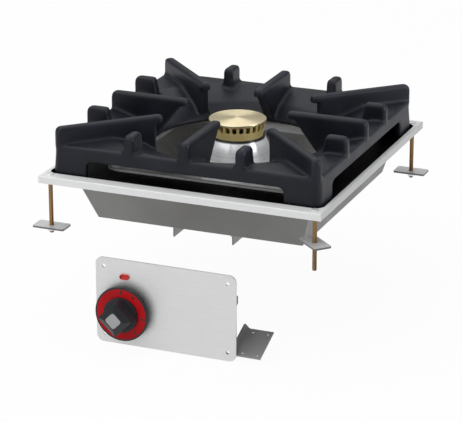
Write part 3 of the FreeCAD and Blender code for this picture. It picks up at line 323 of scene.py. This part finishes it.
def new_group(name, inputs, outputs):
    """Empty shader group with named sockets; returns the group and its two end nodes."""
    tree = bpy.data.node_groups.new(name, "ShaderNodeTree")
    for socket, kind, default in inputs:
        made = tree.interface.new_socket(socket, in_out="INPUT", socket_type="NodeSocket" + kind)
        made.default_value = default
    for socket, kind in outputs:
        tree.interface.new_socket(socket, in_out="OUTPUT", socket_type="NodeSocket" + kind)
    return tree, tree.nodes.new("NodeGroupInput"), tree.nodes.new("NodeGroupOutput")


def use(tree, name, **inputs):
    """Place a shared group in a material."""
    node = tree.nodes.new("ShaderNodeGroup")
    node.node_tree = bpy.data.node_groups[name]
    for socket, value in inputs.items():
        node.inputs[socket.replace("_", " ").capitalize()].default_value = value
    return node


def math_node(tree, operation, first, second=0.0):
    node = add(tree, "ShaderNodeMath", operation=operation)
    fill(tree, node.inputs[0], first)
    fill(tree, node.inputs[1], second)
    return node.outputs[0]


def spread(tree, value, low, high, to_low=0.0, to_high=1.0):
    """Map a value from one range to another, held at its ends."""
    return add(tree, "ShaderNodeMapRange", {"Value": value, "From Min": low, "From Max": high,
                                            "To Min": to_low, "To Max": to_high}).outputs[0]


def between(tree, mask, low, high):
    """Value that goes from low to high as a mask goes from 0 to 1."""
    return spread(tree, mask, 0, 1, low, high)


def mixed(tree, factor, first, second):
    """Colour between two colours, which are inputs 6 and 7 of a mix node."""
    node = add(tree, "ShaderNodeMix", data_type="RGBA")
    fill(tree, node.inputs[0], factor)
    fill(tree, node.inputs[6], first)
    fill(tree, node.inputs[7], second)
    return node.outputs[2]


def opaque(rgb, share=1.0):
    return (rgb[0] * share, rgb[1] * share, rgb[2] * share, 1.0)


def shades(tree, mask, rgb, dark, pale):
    """Colour that goes from a dark to a pale shade of one colour as a mask goes from 0 to 1."""
    return mixed(tree, mask, opaque(rgb, dark), opaque(rgb, pale))


def place_on_piece(tree):
    """Place of a point in its piece's own coordinates."""
    return add(tree, "ShaderNodeTexCoord").outputs["Object"]


def make_grain_group():
    """Fine scratches drawn out along one axis, as rolled and brushed sheet has."""
    tree, start, end = new_group("drawn_grain",
                                 [("Stretch", "Vector", (1, 1, 1)), ("Density", "Float", 60.0)],
                                 [("Height", "Float"), ("Mask", "Float")])
    place = place_on_piece(tree)
    drawn = add(tree, "ShaderNodeMapping", {"Vector": place, "Scale": start.outputs["Stretch"]})
    noise = add(tree, "ShaderNodeTexNoise", {"Vector": drawn.outputs[0], "Scale": start.outputs["Density"],
                                             "Detail": 4.0, "Roughness": 0.65})
    tree.links.new(noise.outputs["Fac"], end.inputs["Height"])
    tree.links.new(spread(tree, noise.outputs["Fac"], low=0.3, high=0.7), end.inputs["Mask"])


def make_smudge_group():
    """Large soft patches where hands and cloths have dulled a surface."""
    tree, start, end = new_group("smudges", [("Density", "Float", 14.0)], [("Mask", "Float")])
    place = place_on_piece(tree)
    noise = add(tree, "ShaderNodeTexNoise", {"Vector": place, "Scale": start.outputs["Density"],
                                             "Detail": 5.0, "Roughness": 0.6, "Distortion": 0.4})
    tree.links.new(spread(tree, noise.outputs["Fac"], low=0.35, high=0.68), end.inputs["Mask"])


def make_cast_group():
    """Sand-cast skin under a coat: small lumps and fine pits."""
    tree, start, end = new_group("cast_skin", [("Lumps", "Float", 260.0), ("Pits", "Float", 900.0)],
                                 [("Height", "Float"), ("Mottle", "Float")])
    place = place_on_piece(tree)
    lumps = add(tree, "ShaderNodeTexNoise", {"Vector": place, "Scale": start.outputs["Lumps"], "Detail": 3.0})
    pits = add(tree, "ShaderNodeTexVoronoi", {"Vector": place, "Scale": start.outputs["Pits"]})
    shallow = math_node(tree, "MULTIPLY", pits.outputs["Distance"], 0.35)
    both = math_node(tree, "ADD", lumps.outputs["Fac"], shallow)
    tree.links.new(both, end.inputs["Height"])
    broad = add(tree, "ShaderNodeTexNoise", {"Vector": place, "Scale": 22.0, "Detail": 4.0})
    tree.links.new(spread(tree, broad.outputs["Fac"], low=0.35, high=0.65), end.inputs["Mottle"])


def make_edge_group():
    """Raised edges of a dense mesh, for thin enamel and rubbed paint, and for a painted edge highlight."""
    tree, start, end = new_group("raised_edges", [("Low", "Float", 0.52), ("High", "Float", 0.62)],
                                 [("Mask", "Float")])
    shape = add(tree, "ShaderNodeNewGeometry")
    mask = spread(tree, shape.outputs["Pointiness"], start.outputs["Low"], start.outputs["High"])
    tree.links.new(mask, end.inputs["Mask"])


def make_joint_shade_group():
    """Painted shade: a dark band from a height up, standing in for the shadow where one turned piece sits on
    another.
    """
    tree, start, end = new_group("painted_joint_shade", [("Start", "Float", 0.0), ("Full", "Float", 0.001)],
                                 [("Mask", "Float")])
    parts = add(tree, "ShaderNodeSeparateXYZ", {"Vector": place_on_piece(tree)})
    mask = spread(tree, parts.outputs["Z"], start.outputs["Start"], start.outputs["Full"])
    tree.links.new(mask, end.inputs["Mask"])


def make_shear_group():
    """Upright sides of a flat-lying sheet, where the shears have cut through its coat."""
    tree, start, end = new_group("sheared_edge", [("Upright", "Float", 0.35), ("Flat", "Float", 0.8)],
                                 [("Mask", "Float")])
    normal = add(tree, "ShaderNodeTexCoord").outputs["Normal"]
    parts = add(tree, "ShaderNodeSeparateXYZ", {"Vector": normal})
    level = math_node(tree, "ABSOLUTE", parts.outputs["Z"])
    mask = spread(tree, level, start.outputs["Upright"], start.outputs["Flat"], to_low=1.0, to_high=0.0)
    tree.links.new(mask, end.inputs["Mask"])


def make_turned_group():
    """Tool marks of a lathe: rings about the burner's axis."""
    tree, start, end = new_group("turned_rings", [("Density", "Float", 1500.0)],
                                 [("Height", "Float"), ("Mask", "Float")])
    parts = add(tree, "ShaderNodeSeparateXYZ", {"Vector": place_on_piece(tree)})
    flat = add(tree, "ShaderNodeCombineXYZ", {"X": parts.outputs["X"], "Y": parts.outputs["Y"]})
    radius = add(tree, "ShaderNodeVectorMath", {0: flat.outputs[0]}, operation="LENGTH")
    rings = add(tree, "ShaderNodeTexNoise", {"W": radius.outputs["Value"], "Scale": start.outputs["Density"],
                                             "Detail": 2.0}, noise_dimensions="1D")
    tree.links.new(rings.outputs["Fac"], end.inputs["Height"])
    tree.links.new(spread(tree, rings.outputs["Fac"], low=0.35, high=0.65), end.inputs["Mask"])


def new_material(name, **values):
    """Material with one shader whose plain values are set on its own sockets."""
    material = bpy.data.materials.new(name)
    material.use_nodes = True
    tree = material.node_tree
    shader = tree.nodes["Principled BSDF"]
    for socket, value in values.items():
        shader.inputs[socket.replace("_", " ")].default_value = value
    return material, tree, shader


def bump(tree, shader, height, strength, distance):
    made = add(tree, "ShaderNodeBump", {"Height": height, "Strength": strength, "Distance": distance})
    tree.links.new(made.outputs["Normal"], shader.inputs["Normal"])


# Finishes

def sheet_metal(name, rgb, roughness, stretch=(1, 40, 40), metallic=1.0, density=60.0, sheared=None):
    """Brushed sheet: grain along one axis, soft dull patches, and sheared edges in a dark shade if given."""
    material, tree, shader = new_material(name, Metallic=metallic)
    grain = use(tree, "drawn_grain", stretch=stretch, density=density)
    patches = use(tree, "smudges")
    contrast = 0.08
    face = shades(tree, grain.outputs["Mask"], rgb, 1 - contrast, 1 + contrast / 3)
    if sheared:
        edge = use(tree, "sheared_edge")
        face = mixed(tree, edge.outputs["Mask"], face, opaque(rgb, sheared))
    tree.links.new(face, shader.inputs["Base Color"])
    worn = between(tree, patches.outputs["Mask"], roughness * 0.88, roughness * 1.12)
    fine = math_node(tree, "ADD", worn, between(tree, grain.outputs["Mask"], -0.03, 0.03))
    tree.links.new(fine, shader.inputs["Roughness"])
    bump(tree, shader, grain.outputs["Height"], strength=0.12, distance=0.0001)
    return material


def black_enamel(colours):
    """Satin black enamel over a sand casting, paler on raised edges: thinner enamel there, and a painted edge
    highlight.
    """
    material, tree, shader = new_material("black_enamel", Specular_IOR_Level=0.18)
    skin = use(tree, "cast_skin")
    edges = use(tree, "raised_edges")
    body = shades(tree, skin.outputs["Mottle"], colours.enamel, 0.8, 1.25)
    # Raised edges take the paler colour: thin enamel, and partly a painted highlight
    coat = mixed(tree, edges.outputs["Mask"], body, opaque(colours.enamel_edge_and_highlight))
    tree.links.new(coat, shader.inputs["Base Color"])
    tree.links.new(between(tree, skin.outputs["Mottle"], 0.36, 0.46), shader.inputs["Roughness"])
    bump(tree, shader, skin.outputs["Height"], strength=0.16, distance=0.0004)
    return material


def turned_metal(name, rgb, roughness, anisotropy, metallic=1.0, tool_marks=0.1, shade_heights=None):
    """Lathe-turned metal with its highlight drawn across the rings, and a painted shade band between two
    heights where another piece sits on it.
    """
    material, tree, shader = new_material(name, Metallic=metallic, Anisotropic=anisotropy,
                                          Anisotropic_Rotation=0.25)
    rings = use(tree, "turned_rings")
    bright = shades(tree, rings.outputs["Mask"], rgb, 0.9, 1.04)
    if shade_heights:
        # Painted shade: darkened from the given heights up, standing in for the shadow under the piece above
        line = use(tree, "painted_joint_shade", start=shade_heights[0], full=shade_heights[1])
        bright = mixed(tree, line.outputs["Mask"], bright, opaque(rgb, 0.02))
    tree.links.new(bright, shader.inputs["Base Color"])
    dulled = between(tree, rings.outputs["Mask"], roughness * 0.95, roughness * 1.1)
    tree.links.new(dulled, shader.inputs["Roughness"])
    around = add(tree, "ShaderNodeTangent", direction_type="RADIAL", axis="Z")
    tree.links.new(around.outputs[0], shader.inputs["Tangent"])
    if tool_marks:
        bump(tree, shader, rings.outputs["Height"], strength=tool_marks, distance=0.00008)
    return material


def cast_iron(colours):
    """Bare iron of the burner's casting."""
    material, tree, shader = new_material("bare_iron", Metallic=0.6)
    skin = use(tree, "cast_skin", lumps=420.0)
    tree.links.new(shades(tree, skin.outputs["Mottle"], colours.iron, 0.7, 1.2), shader.inputs["Base Color"])
    tree.links.new(between(tree, skin.outputs["Mottle"], 0.55, 0.75), shader.inputs["Roughness"])
    bump(tree, shader, skin.outputs["Height"], strength=0.4, distance=0.0006)
    return material


def moulding(name, rgb, roughness, grain_depth=0.00006, gloss=0.3):
    """Moulded plastic with a fine spark-eroded texture."""
    material, tree, shader = new_material(name, Specular_IOR_Level=gloss)
    skin = use(tree, "cast_skin", lumps=1500.0, pits=3000.0)
    tree.links.new(shades(tree, skin.outputs["Mottle"], rgb, 0.92, 1.08), shader.inputs["Base Color"])
    worn = between(tree, skin.outputs["Mottle"], roughness - 0.04, roughness + 0.04)
    tree.links.new(worn, shader.inputs["Roughness"])
    bump(tree, shader, skin.outputs["Height"], strength=0.25, distance=grain_depth)
    return material


def printed(name, rgb, gloss=0.4):
    """Flat printing ink, or a flat black standing in for shade, a little uneven."""
    material, tree, shader = new_material(name, Specular_IOR_Level=gloss)
    patches = use(tree, "smudges", density=160.0)
    tree.links.new(shades(tree, patches.outputs["Mask"], rgb, 0.9, 1.08), shader.inputs["Base Color"])
    tree.links.new(between(tree, patches.outputs["Mask"], 0.38, 0.5), shader.inputs["Roughness"])
    return material


def make_shared_groups():
    for maker in (make_grain_group, make_smudge_group, make_cast_group, make_edge_group, make_joint_shade_group,
                  make_shear_group, make_turned_group):
        maker()


# Operators

class HobOperator:
    """What the hob's operators share"""
    bl_options = {"REGISTER"}

    @property
    def sizes(self):
        return bpy.context.scene.hob_sizes

    @property
    def colours(self):
        return bpy.context.scene.hob_colours


class HOB_OT_pan_support(HobOperator, bpy.types.Operator):
    """Round the casting's edges and roots and enamel it"""
    bl_idname = "hob.pan_support"
    bl_label = "Cast pan support"

    def execute(self, context):
        casting = copy_of("pan_support", "pan_support_casting")
        skin = casting.modifiers.new("skin", "REMESH")
        skin.mode = "VOXEL"
        skin.voxel_size = self.sizes.casting_skin
        rounding = casting.modifiers.new("rounding", "SMOOTH")
        rounding.factor = 0.5
        rounding.iterations = self.sizes.casting_rounds
        apply_modifiers(casting)
        smooth(casting, degrees=180)
        stand_for(casting, "pan_support", black_enamel(self.colours))
        return {"FINISHED"}


class HOB_OT_sheet_metal(HobOperator, bpy.types.Operator):
    """Finish the rim, its recess, the basin and the carrier"""
    bl_idname = "hob.sheet_metal"
    bl_label = "Rim, basin and carrier"

    def execute(self, context):
        self.finish_rim()
        self.finish_basin()
        carrier = sheet_metal("carrier_sheet", self.colours.carrier, roughness=0.5, stretch=(40, 1, 40),
                              metallic=0.6)
        soft_copy("burner_carrier", self.sizes.sheet_edge, carrier)
        return {"FINISHED"}

    def finish_rim(self):
        """The rim is satin; its recess is painted black on floor and walls, up to the well's rolled edge, as
        painted shade under the pan support.
        """
        satin = sheet_metal("rim_stainless", self.colours.stainless, roughness=0.42, metallic=0.12)
        # Painted shade: flat black on the recess, standing in for the shade under the pan support
        black = printed("recess_painted_shade", self.colours.recess, gloss=0.12)
        rim = soften(copy_of("rim_frame", "rim_frame_soft"), self.sizes.sheet_edge)
        stand_for(rim, "rim_frame", satin, black)
        # Below the rounded edges of the rim's top
        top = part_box("rim_frame")[1].z - 2 * self.sizes.sheet_edge
        for face in rim.data.polygons:
            across = max(abs(face.center.x), abs(face.center.y))
            in_recess = self.sizes.well_half < across < self.sizes.recess_half and face.center.z < top
            looks_down = face.normal.z <= -0.1
            face.material_index = int(in_recess and not looks_down)

    def finish_basin(self):
        """The basin is bright inside and painted darker outside as shade, so its faces are sorted by the side
        they are on.
        """
        inside = sheet_metal("basin_inside", self.colours.basin_inside, roughness=0.3, metallic=0.3)
        # Painted shade: the outer side is a darker copy of the basin's sheet
        outside = sheet_metal("basin_outside", self.colours.basin_outside, roughness=0.5, metallic=0.6)
        basin = soften(copy_of("spill_basin", "spill_basin_soft"), self.sizes.sheet_edge)
        stand_for(basin, "spill_basin", inside, outside)
        low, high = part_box("spill_basin")
        heart = Vector(((low.x + high.x) / 2, (low.y + high.y) / 2, high.z))
        for face in basin.data.polygons:
            face.material_index = int(face.normal.dot(face.center - heart) > 0)


class HOB_OT_clamps(HobOperator, bpy.types.Operator):
    """Cut the studs' threads and finish the nuts and plates"""
    bl_idname = "hob.clamps"
    bl_label = "Clamp studs, nuts and plates"

    def execute(self, context):
        plate = sheet_metal("zinc_plate", self.colours.plate, roughness=0.36, metallic=0.45, sheared=0.2)
        nut = sheet_metal("zinc_nut", self.colours.plate, roughness=0.36)
        for corner in CORNERS:
            soft_copy("clamp_plate_" + corner, self.sizes.sheet_edge, plate)
            soft_copy("clamp_nut_" + corner, self.sizes.machined_edge, nut)
        self.cut_threads()
        return {"FINISHED"}

    def cut_threads(self):
        """Threaded studs under plain stainless heads: each shank is thinned and a ridge wound round it."""
        sizes = self.sizes
        studs = copy_of("clamp_studs", "clamp_studs_threaded")
        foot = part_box("clamp_studs")[0].z
        rim_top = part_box("rim_frame")[1].z
        turns = int((rim_top - foot) / sizes.thread_pitch) - BARE_TURNS
        share = 1 - sizes.thread_depth / sizes.stud_radius
        ridges = []
        for corner in CORNERS:
            axis = middle("clamp_nut_" + corner)
            axis.z = 0
            pick(studs, lambda place: place.z < rim_top and (place - axis).xy.length < 2 * sizes.stud_radius)
            bpy.ops.transform.resize(value=(share, share, 1), center_override=axis)
            in_object_mode()
            ridges.append(self.wind_ridge("ridge_" + corner, axis, foot, turns))
        only(studs)
        for ridge in ridges:
            ridge.select_set(True)
        bpy.ops.object.join()
        smooth(studs, degrees=30)
        passivated = sheet_metal("yellow_passivated", self.colours.stud, roughness=0.36, stretch=(1, 1, 1),
                                 density=900.0)
        head = sheet_metal("stud_head_steel", self.colours.stainless, roughness=0.4, stretch=(1, 1, 1),
                           metallic=0.6)
        stand_for(studs, "clamp_studs", passivated, head)
        for face in studs.data.polygons:
            face.material_index = int(face.center.z > rim_top)

    def wind_ridge(self, name, axis, foot, turns):
        """Ridge of a thread, wound up a screw line from a small triangle."""
        sizes = self.sizes
        edgeways = Matrix(((0, 1, 0), (0, 0, 1), (1, 0, 0))).to_euler()
        bpy.ops.mesh.primitive_circle_add(vertices=3, radius=1, rotation=edgeways)
        ridge = new_piece(name)
        deep = sizes.thread_depth / TRIANGLE_HEIGHT
        high = sizes.thread_pitch * RIDGE_SPREAD
        in_edit_mode(ridge)
        bpy.ops.transform.resize(value=(deep, 1, high), center_override=(0, 0, 0))
        bpy.ops.transform.translate(value=(sizes.stud_radius - deep, 0, foot + sizes.thread_pitch / 2))
        in_object_mode()
        winding = ridge.modifiers.new("winding", "SCREW")
        winding.screw_offset = sizes.thread_pitch
        winding.iterations = turns
        winding.steps = RIDGE_STEPS
        winding.render_steps = RIDGE_STEPS
        apply_modifiers(ridge)
        in_edit_mode(ridge)
        bpy.ops.mesh.normals_make_consistent()
        bpy.ops.transform.translate(value=axis)
        in_object_mode()
        return ridge


class HOB_OT_burner(HobOperator, bpy.types.Operator):
    """Finish the crown, cap, shroud and what is under them"""
    bl_idname = "hob.burner"
    bl_label = "Burner"

    def execute(self, context):
        line = self.sizes.painted_joint_shade
        shroud_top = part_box("burner_shroud")[1].z
        cap = turned_metal("cap_brass", self.colours.cap, roughness=0.3, anisotropy=0.75, metallic=0.9,
                           tool_marks=0)
        soft_copy("burner_cap", self.sizes.machined_edge, cap, flat=False)
        crown = turned_metal("crown_brass", self.colours.crown, roughness=0.24, anisotropy=0.3, metallic=0.5)
        soft_copy("burner_crown", self.sizes.machined_edge, crown, flat=False)
        # The shroud's top band is painted dark as the shadow under the crown
        shroud = turned_metal("polished_cone", self.colours.shroud, roughness=0.32, anisotropy=0.75,
                              metallic=0.4, tool_marks=0, shade_heights=(shroud_top - line, shroud_top - line / 2))
        finish_nodes(shroud, "burner_shroud")
        finish_nodes(cast_iron(self.colours), "mixing_tube", "burner_foot", "burner_cup")
        steel = sheet_metal("bright_steel", self.colours.steel, roughness=0.3, stretch=(1, 1, 20))
        bracket = sheet_metal("jet_sheet", self.colours.bracket, roughness=0.45)
        brass = turned_metal("fitting_brass", self.colours.fitting, roughness=0.3, anisotropy=0.3)
        finish_nodes(steel, "burner_screws", "thermocouple")
        for node in ("jet_bracket", "pilot_bracket", "air_shutter"):
            soft_copy(node, self.sizes.sheet_edge, bracket)
        for node in ("injector", "injector_holder", "pilot_burner"):
            soft_copy(node, self.sizes.machined_edge, brass)
        return {"FINISHED"}


class HOB_OT_panel_unit(HobOperator, bpy.types.Operator):
    """Finish the control panel, its bracket and the gas tap behind it"""
    bl_idname = "hob.panel_unit"
    bl_label = "Control panel and tap"

    def execute(self, context):
        satin = sheet_metal("panel_stainless", self.colours.panel, roughness=0.46, metallic=0.7)
        soft_copy("control_panel", self.sizes.sheet_edge, satin)
        bracket = sheet_metal("bracket_sheet", self.colours.bracket, roughness=0.5, metallic=0.6)
        soft_copy("panel_bracket", self.sizes.sheet_edge, bracket)
        brass = turned_metal("tap_brass", self.colours.fitting, roughness=0.32, anisotropy=0.2)
        soft_copy("tap_bonnet", self.sizes.machined_edge, brass)
        soft_copy("tap_body", self.sizes.machined_edge, brass)
        dull = sheet_metal("dull_pipe", self.colours.pipe, roughness=0.45, stretch=(1, 20, 20))
        finish_nodes(dull, "supply_pipe")
        soft_copy("coupling_nut", self.sizes.machined_edge, dull)
        steel = sheet_metal("tap_steel", self.colours.steel, roughness=0.3, stretch=(20, 1, 20))
        finish_nodes(steel, "tap_screws", "push_pin", "tap_spindle")
        soft_copy("magnet_unit", self.sizes.machined_edge, steel)
        self.print_index()
        return {"FINISHED"}

    def print_index(self):
        """Plain red bar above the knob that the dial is read against."""
        sizes = self.sizes
        axis = middle("tap_spindle")
        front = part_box("control_panel")[0].y
        proud = sizes.print_proud
        place = (axis.x, front - proud / 2, axis.z + sizes.index_above)
        bpy.ops.mesh.primitive_cube_add(size=1, location=place,
                                        scale=(sizes.index_length, proud, sizes.index_width))
        bar = new_piece("index_bar")
        in_edit_mode(bar)
        bpy.ops.mesh.select_all(action="DESELECT")
        in_object_mode()
        for edge in bar.data.edges:
            ends = [bar.data.vertices[i].co for i in edge.vertices]
            edge.select = abs(ends[0].y - ends[1].y) > proud / 2
        bpy.ops.object.mode_set(mode="EDIT")
        bpy.ops.mesh.bevel(offset=sizes.index_width * sizes.index_round, segments=6)
        in_object_mode()
        paint(bar, printed("index_red", self.colours.index))
        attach(bar, BODY_OF["control_panel"])


class HOB_OT_knob(HobOperator, bpy.types.Operator):
    """Finish the knob and print its dial"""
    bl_idname = "hob.knob"
    bl_label = "Knob and dial"

    def execute(self, context):
        black = moulding("knob_black", self.colours.plastic, roughness=0.38)
        soft_copy("knob_skirt", self.sizes.machined_edge, black)
        soft_copy("knob_grip", self.sizes.moulded_edge, black, segments=3)
        red = moulding("dial_red", self.colours.dial, roughness=0.34, grain_depth=0.00002, gloss=0.12)
        finish_nodes(red, "dial_ring")
        satin = sheet_metal("inlay_satin", self.colours.inlay, roughness=0.45, metallic=0.3)
        soft_copy("knob_inlay", self.sizes.machined_edge, satin)
        ink = printed("dial_ink", self.colours.ink)
        for number, degrees in enumerate(TICK_ANGLES):
            self.print_tick("dial_tick_%d" % number, degrees, ink)
        self.print_dot("dial_dot_0", DOT_ANGLE, ink)
        return {"FINISHED"}

    def on_dial(self, degrees):
        """Place of a mark on the dial's face, clockwise from the top as the cook sees it."""
        axis = middle("knob_skirt")
        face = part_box("dial_ring")[0].y - self.sizes.print_proud / 2
        turn = math.radians(degrees)
        reach = self.sizes.mark_radius
        return Vector((axis.x + reach * math.sin(turn), face, axis.z + reach * math.cos(turn)))

    def print_tick(self, name, degrees, ink):
        sizes = self.sizes
        bpy.ops.mesh.primitive_cube_add(size=1, location=self.on_dial(degrees),
                                        rotation=(0, math.radians(degrees), 0),
                                        scale=(sizes.tick_width, sizes.print_proud, sizes.tick_length))
        self.put_on_knob(new_piece(name), ink)

    def print_dot(self, name, degrees, ink):
        sizes = self.sizes
        facing = (math.radians(90), 0, 0)
        bpy.ops.mesh.primitive_cylinder_add(vertices=32, radius=sizes.dot_radius, depth=sizes.print_proud,
                                            location=self.on_dial(degrees), rotation=facing)
        self.put_on_knob(new_piece(name), ink)

    def put_on_knob(self, mark, ink):
        """Round a mark's edges by a third of its height, ink it and let it turn with the dial."""
        soften(mark, self.sizes.print_proud / 3)
        paint(mark, ink)
        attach(mark, BODY_OF["dial_ring"])


class HOB_OT_studio(HobOperator, bpy.types.Operator):
    """Set up the floor, the lights and the camera"""
    bl_idname = "hob.studio"
    bl_label = "Studio"

    def execute(self, context):
        self.lay_floor(context)
        self.light(context)
        self.set_camera(context)
        return {"FINISHED"}

    def lay_floor(self, context):
        """Pale floor that reads as white, with the object's shadow kept on it."""
        studio = context.scene.hob_studio
        below = CAD_BOX[0].z - studio.floor_below
        bpy.ops.mesh.primitive_plane_add(size=studio.floor_width, location=(0, 0, below))
        floor = new_piece("floor")
        material = bpy.data.materials.new("pale_floor")
        material.use_nodes = True
        tree = material.node_tree
        tree.nodes.remove(tree.nodes["Principled BSDF"])
        matt = add(tree, "ShaderNodeBsdfDiffuse", {"Color": (0.8, 0.8, 0.8, 1)})
        white = add(tree, "ShaderNodeEmission", {"Color": (1, 1, 1, 1), "Strength": 1.0})
        seen = add(tree, "ShaderNodeMixShader", {0: studio.floor_white, 1: matt.outputs[0],
                                                 2: white.outputs[0]})
        path = add(tree, "ShaderNodeLightPath")
        direct = math_node(tree, "MAXIMUM", path.outputs["Is Camera Ray"], path.outputs["Is Glossy Ray"])
        direct = math_node(tree, "MAXIMUM", direct, path.outputs["Is Transmission Ray"])
        both = add(tree, "ShaderNodeMixShader", {0: direct, 1: matt.outputs[0], 2: seen.outputs[0]})
        tree.links.new(both.outputs[0], tree.nodes["Material Output"].inputs["Surface"])
        paint(floor, material)

    def light(self, context):
        """Low key, large boxes in front and above, and smaller ones behind and right for cap and shroud."""
        world = bpy.data.worlds.new("studio")
        world.use_nodes = True
        background = world.node_tree.nodes["Background"]
        background.inputs["Color"].default_value = (0.96, 0.98, 1.0, 1)
        background.inputs["Strength"].default_value = context.scene.hob_studio.ambient
        context.scene.world = world
        lamps = {lamp[0]: self.area_light(*lamp) for lamp in LAMPS}
        self.light_only(lamps["right"], LIT_FROM_RIGHT)

    def light_only(self, lamp, pieces):
        """Keep a lamp's light to some pieces, so that the sheet metal's right side stays in shade."""
        lit = bpy.data.collections.new("lit_from_" + lamp.name)
        for piece in pieces:
            lit.objects.link(bpy.data.objects[piece])
        lamp.light_linking.receiver_collection = lit

    def area_light(self, name, place, width, height, watts):
        bpy.ops.object.light_add(type="AREA", location=place)
        lamp = bpy.context.object
        lamp.name = name
        lamp.data.shape = "RECTANGLE"
        lamp.data.size = width
        lamp.data.size_y = height
        lamp.data.energy = watts
        lamp.rotation_euler = (-Vector(place)).to_track_quat("-Z", "Y").to_euler()
        return lamp

    def set_camera(self, context):
        studio = context.scene.hob_studio
        around = studio.azimuth
        above = studio.elevation
        level = math.cos(above)
        back = Vector((math.sin(around) * level, -math.cos(around) * level, math.sin(above)))
        right = Vector((math.cos(around), math.sin(around), 0))
        up = back.cross(right)
        rim_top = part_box("rim_frame")[1].z
        target = Vector((0, 0, rim_top)) - right * studio.target_left - up * studio.target_below
        bpy.ops.object.camera_add(location=target + back * studio.distance)
        camera = bpy.context.object
        camera.name = "camera"
        camera.rotation_euler = Matrix((right, up, back)).transposed().to_euler()
        camera.data.lens = studio.lens
        camera.data.sensor_width = 36
        camera.data.clip_end = 20
        context.scene.camera = camera
        context.scene.view_settings.view_transform = "Standard"


OPERATORS = (HOB_OT_pan_support, HOB_OT_sheet_metal, HOB_OT_clamps, HOB_OT_burner, HOB_OT_panel_unit,
             HOB_OT_knob, HOB_OT_studio)


class HOB_PT_sidebar(bpy.types.Panel):
    """Lists the steps that dress the hob"""
    bl_idname = "HOB_PT_sidebar"
    bl_label = "Gas hob"
    bl_space_type = "VIEW_3D"
    bl_region_type = "UI"
    bl_category = "Gas hob"

    def draw(self, context):
        for operator in OPERATORS:
            self.layout.operator(operator.bl_idname)


CLASSES = (HobSizes, HobColours, StudioSettings, *OPERATORS, HOB_PT_sidebar)


def register():
    for part in CLASSES:
        bpy.utils.register_class(part)
    bpy.types.Scene.hob_sizes = PointerProperty(type=HobSizes)
    bpy.types.Scene.hob_colours = PointerProperty(type=HobColours)
    bpy.types.Scene.hob_studio = PointerProperty(type=StudioSettings)


def unregister():
    del bpy.types.Scene.hob_studio
    del bpy.types.Scene.hob_colours
    del bpy.types.Scene.hob_sizes
    for part in reversed(CLASSES):
        bpy.utils.unregister_class(part)


def main():
    register()
    make_shared_groups()
    bpy.ops.hob.pan_support()
    bpy.ops.hob.sheet_metal()
    bpy.ops.hob.clamps()
    bpy.ops.hob.burner()
    bpy.ops.hob.panel_unit()
    bpy.ops.hob.knob()
    bpy.ops.hob.studio()


if __name__ == "__main__":
    main()
